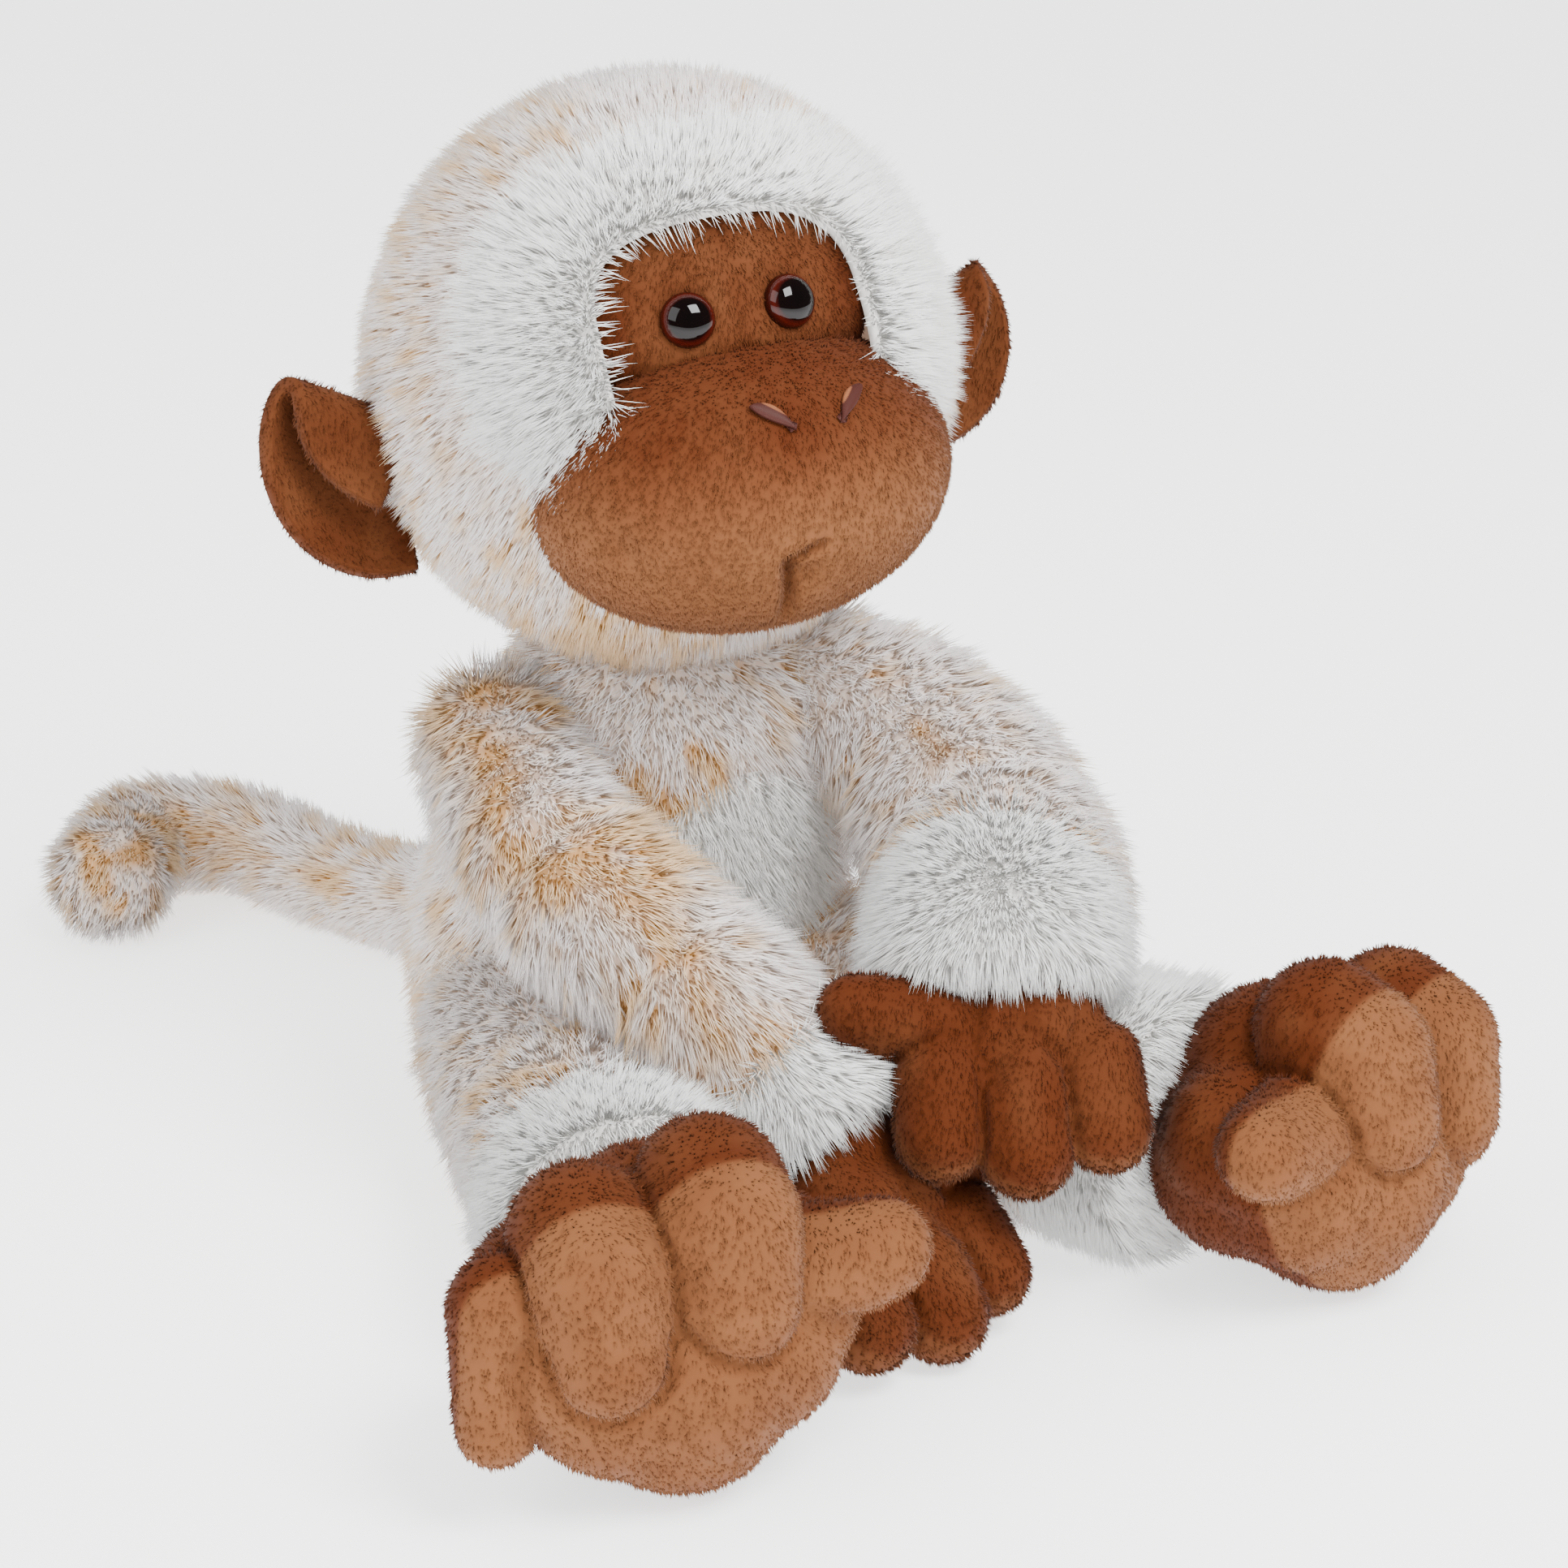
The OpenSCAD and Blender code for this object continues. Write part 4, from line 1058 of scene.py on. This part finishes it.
def seam_gap(points, groups):
    """How much nearer a point is to its nearest lobe than to the next one: small at the seams between lobes."""
    outside = [np.linalg.norm(points[:, None] - g[None, :, :3], axis=2) - g[None, :, 3] for g in groups]
    gaps = np.stack([distance.min(axis=1) for distance in outside], axis=1)
    gaps.sort(axis=1)
    return gaps[:, 1] - gaps[:, 0]


def filled_bag(groups, voxel=2.6):
    """Balls, remeshed to one skin, blown up as cloth with its seams held, smoothed once, seams pulled in."""
    verts, tris = loose_balls(np.concatenate(groups))
    mesh = bpy.data.meshes.new("bag")
    mesh.from_pydata((verts * MM).tolist(), [], tris.tolist())
    obj = bpy.data.objects.new("bag", mesh)
    bpy.context.scene.collection.objects.link(obj)
    remesh = obj.modifiers.new("skin", "REMESH")
    remesh.mode, remesh.voxel_size = "VOXEL", voxel * MM
    start = settled(obj)
    held = np.nonzero(seam_gap(start, groups) < 1.6)[0]
    group = obj.vertex_groups.new(name="seam")
    group.add(held.tolist(), 1.0, "REPLACE")
    cloth = obj.modifiers.new("filling", "CLOTH")
    cloth.settings.use_pressure = True
    cloth.settings.uniform_pressure_force = PRESSURE
    cloth.settings.vertex_group_mass = "seam"
    cloth.settings.effector_weights.gravity = 0.0
    cloth.point_cache.frame_start, cloth.point_cache.frame_end = 1, FRAMES
    for step in range(1, FRAMES + 1):
        bpy.context.scene.frame_set(step)
    swollen = settled(obj)
    bpy.context.scene.frame_set(1)
    move = swollen - start
    far = np.linalg.norm(move, axis=1, keepdims=True)
    start = start + move * np.minimum(1.0, MOST_SWELL / np.maximum(far, 1e-6))
    obj.vertex_groups.clear()
    obj.data.vertices.foreach_set("co", (start * MM).astype(np.float32).ravel())
    smooth = obj.modifiers.new("smooth", "SMOOTH")
    smooth.factor, smooth.iterations = 0.5, 3
    finer = obj.modifiers.new("finer", "SUBSURF")
    finer.levels = finer.render_levels = 1
    verts = settled(obj)
    obj.data.calc_loop_triangles()
    tris = np.zeros(len(obj.data.loop_triangles) * 3, np.int32)
    obj.data.loop_triangles.foreach_get("vertices", tris)
    tris = tris.reshape(-1, 3)
    pull = 2.4 * np.exp(-((seam_gap(verts, groups) / 1.7) ** 2))
    verts = verts - vertex_normals(verts, tris) * pull[:, None]
    bpy.data.objects.remove(obj)
    return {"verts": verts, "tris": tris, "outside": np.ones(len(tris), bool)}


# %% Feet
FOOT_TURN = {"right": -8.0, "left": 18.0}  # degrees about +Z


def foot(side_name, side, body, seed):
    """Pad, heel and four toes in the foot's frame, sole towards -Y and the big toe on the inner side."""
    axes = turned(2, FOOT_TURN[side_name])
    low, high = (np.array(corner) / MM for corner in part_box(f"foot_stuffing_{side_name}"))
    middle = (low + high) / 2 - axes @ np.array([0.0, 2.0, -4.0])
    ankle = np.array(JOINTS[f"ankle_{side_name}"]["pos_m"]) / MM

    def world(balls):
        """From the foot's frame to the toy's."""
        balls = np.array(balls, float)
        return np.column_stack([(balls[:, :3] * [-side, 1.0, 1.0]) @ axes.T + middle, balls[:, 3]])

    local = lambda p: ((p - middle) @ axes) * [-side, 1.0, 1.0]
    pad = world([
        (2, 0, -15, 25), (-12, 0, -8, 25), (16, 0, -6, 24), (-27, 1, -2, 20),
        (27, 0, 2, 18), (0, 2, 14, 22), (3, -4, -8, 25),
    ])
    heel = world([(-12, 15, -8, 25), (16, 15, -6, 25), (2, 17, 8, 25), (-24, 12, 4, 19), (26, 12, 2, 19)])
    neck = row_of_balls(ankle + [0, 4, 2], middle + [0, 10, -2], 20.0, 26.0)
    toes = [
        world(row_of_balls((-39, -2, 12), (-42, -6, -14), 12.0, 9.5)),
        world(np.concatenate([
            row_of_balls((-20, 0, 24), (-21, -12, 20), 16.5, 15.5, 4),
            row_of_balls((-21, -12, 20), (-20, -17, 3), 15.5, 13.0, 5),
        ])),
        world(np.concatenate([
            row_of_balls((9, 0, 29), (9, -11, 26), 17.5, 16.5, 4),
            row_of_balls((9, -11, 26), (9, -17, 11), 16.5, 14.0, 5),
        ])),
        world(row_of_balls((26, -4, 8), (46, -9, 13), 15.5, 11.5)),
    ]
    skin = filled_bag([np.concatenate([pad, heel, neck]), *toes])
    skin["verts"] = rest_on_floor(skin["verts"], 0.6)

    def tint(points):
        """Upper panel dark, sole light, with the nap rubbed in streaks across."""
        q = local(points)
        upper = smoothstep(q[:, 1] + 0.3 * np.maximum(q[:, 2] - 20.0, 0.0), -8.0, -5.5)
        streak = mottle(q * [0.5, 1.0, 1.0], 6.0, seed)
        return 0.08 + 0.75 * upper + 0.25 * streak + 0.3 * (mottle(q, 18.0, seed + 1.0) - 0.5)

    fuzz = grow_pile(skin, seed, 0.8, 1.7, 0.5, (0.3, 0.0, -1.0), 56.0, 1.8, tint=tint)
    make_piece(
        f"Foot_{side_name}", body, brown_minky, skin, [fuzz], tint, 0.45,
        [f"foot_upper_{side_name}", f"foot_sole_{side_name}", f"foot_stuffing_{side_name}"],
    )


foot("right", -1.0, "foot_right", 51)
foot("left", 1.0, "foot_left", 52)

# %% Hands
def hand(side_name, side, body, pitch, turn, seed):
    """A flat mitt of a palm, three fingers and a thumb, fingers towards -Y before it is pitched and turned."""
    axes = turned(2, turn) @ turned(0, pitch)
    low, high = (np.array(corner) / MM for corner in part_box(f"hand_stuffing_{side_name}"))
    wrist = (low + high) / 2 - axes @ np.array([0.0, -30.0, 0.0])

    def world(balls):
        """From the hand's frame to the toy's."""
        balls = np.array(balls, float)
        return np.column_stack([(balls[:, :3] * [side, 1.0, 1.0]) @ axes.T + wrist, balls[:, 3]])

    local = lambda p: ((p - wrist) @ axes) * [side, 1.0, 1.0]
    palm = world([
        (0, 0, 0, 16), (0, -8, 0, 15.5), (-9, -18, 0, 13), (9, -18, 0, 13), (-17, -28, 0, 12),
        (-8, -26, 1, 13.5), (4, -26, 1, 13.5), (14, -28, 0, 12), (0, -32, 0, 13),
    ])
    fingers = [
        world(row_of_balls((-20, -32, 0), (-22, -49, -4), 12.0, 11.0)),
        world(row_of_balls((-2, -34, 1), (-2, -54, -4), 12.6, 11.4)),
        world(row_of_balls((16, -33, 0), (18, -49, -4), 12.0, 10.8)),
        world(row_of_balls((12, -24, 2), (36, -20, 7), 12.5, 9.0)),
    ]
    skin = filled_bag([palm, *fingers], 2.3)
    skin["verts"] = rest_on_floor(skin["verts"], 0.6)

    def tint(points):
        """Back dark and palm light, with the nap rubbed in streaks."""
        q = local(points)
        back = smoothstep(q[:, 2], -2.0, 1.0)
        streak = mottle(q * [1.0, 0.5, 1.0], 8.0, seed)
        return 0.5 + 0.3 * back + 0.25 * streak + 0.2 * (mottle(q, 16.0, seed + 1.0) - 0.5)

    fuzz = grow_pile(skin, seed, 1.1, 1.7, 0.48, axes @ np.array([0.0, -1.0, 0.0]), 56.0, 1.8, tint=tint)
    make_piece(
        f"Hand_{side_name}", body, brown_minky, skin, [fuzz], tint, 0.45,
        [f"hand_back_{side_name}", f"hand_palm_{side_name}", f"hand_stuffing_{side_name}"],
    )


hand("right", 1.0, "arm_right", 33.0, 14.0, 61)
hand("left", -1.0, "hand_left", 38.0, -22.0, 62)

# %% [markdown]
# ## What is inside
# Two filled lumps are never seen from outside: a plug of loose fibre in the neck opening, and a small cotton bag
# of plastic pellets low in the seat, which gives the toy its weight. They are boxes with their corners rounded
# right off, and slowly uneven.

# %% Neck plug and pellet bag
def cloth_of(name, light, dark, grain):
    """Matt cloth or fibre, mottled between two near colours by noise with so many cells to the metre."""
    material, tree = new_material(name)
    place = add(tree, "ShaderNodeTexCoord")
    noise = add(tree, "ShaderNodeTexNoise", {"Vector": place.outputs["Object"]}, {"Scale": grain, "Detail": 3.0})
    colour = add(tree, "ShaderNodeMix", {0: noise.outputs[0]}, {6: srgb(light), 7: srgb(dark)}, data_type="RGBA")
    shader = add(tree, "ShaderNodeBsdfPrincipled", {"Base Color": colour.outputs[2]}, {"Roughness": 0.9})
    add(tree, "ShaderNodeOutputMaterial", {"Surface": shader.outputs[0]})
    return material


def lump(name, body, node, material, corner):
    """A rounded block: middle + half |w|^corner with the sign of w, over the directions w of a sphere."""
    low, high = (np.array(point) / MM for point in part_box(node))
    turn, up = np.linspace(-np.pi, np.pi, 61)[:, None], np.linspace(np.pi / 2, -np.pi / 2, 41)[None]
    way = np.stack([np.sin(turn) * np.cos(up), -np.cos(turn) * np.cos(up), np.sin(up) + 0 * turn], axis=-1)
    block = np.sign(way) * np.abs(way) ** corner * (high - low) / 2
    uneven = mottle(block.reshape(-1, 3), 9.0, 71.0).reshape(61, 41, 1)
    grid = (low + high) / 2 + block * (0.99 - 0.05 * uneven)
    grid[-1] = grid[0]
    skin = panel(grid, (low + high) / 2, 2.0, wrap=True, caps=(True, True))
    make_piece(name, body, material, skin, replaces=[node])


fibre = cloth_of("polyester_fibre", "#F2F1EE", "#DAD8D2", 700.0)
lump("Neck_plug", "neck", "neck_plug", fibre, 0.75)
cotton = cloth_of("cotton_bag", "#D8D2C4", "#BDB5A4", 1500.0)
lump("Pellet_bag", "torso", "pellet_bag", cotton, 1.0)
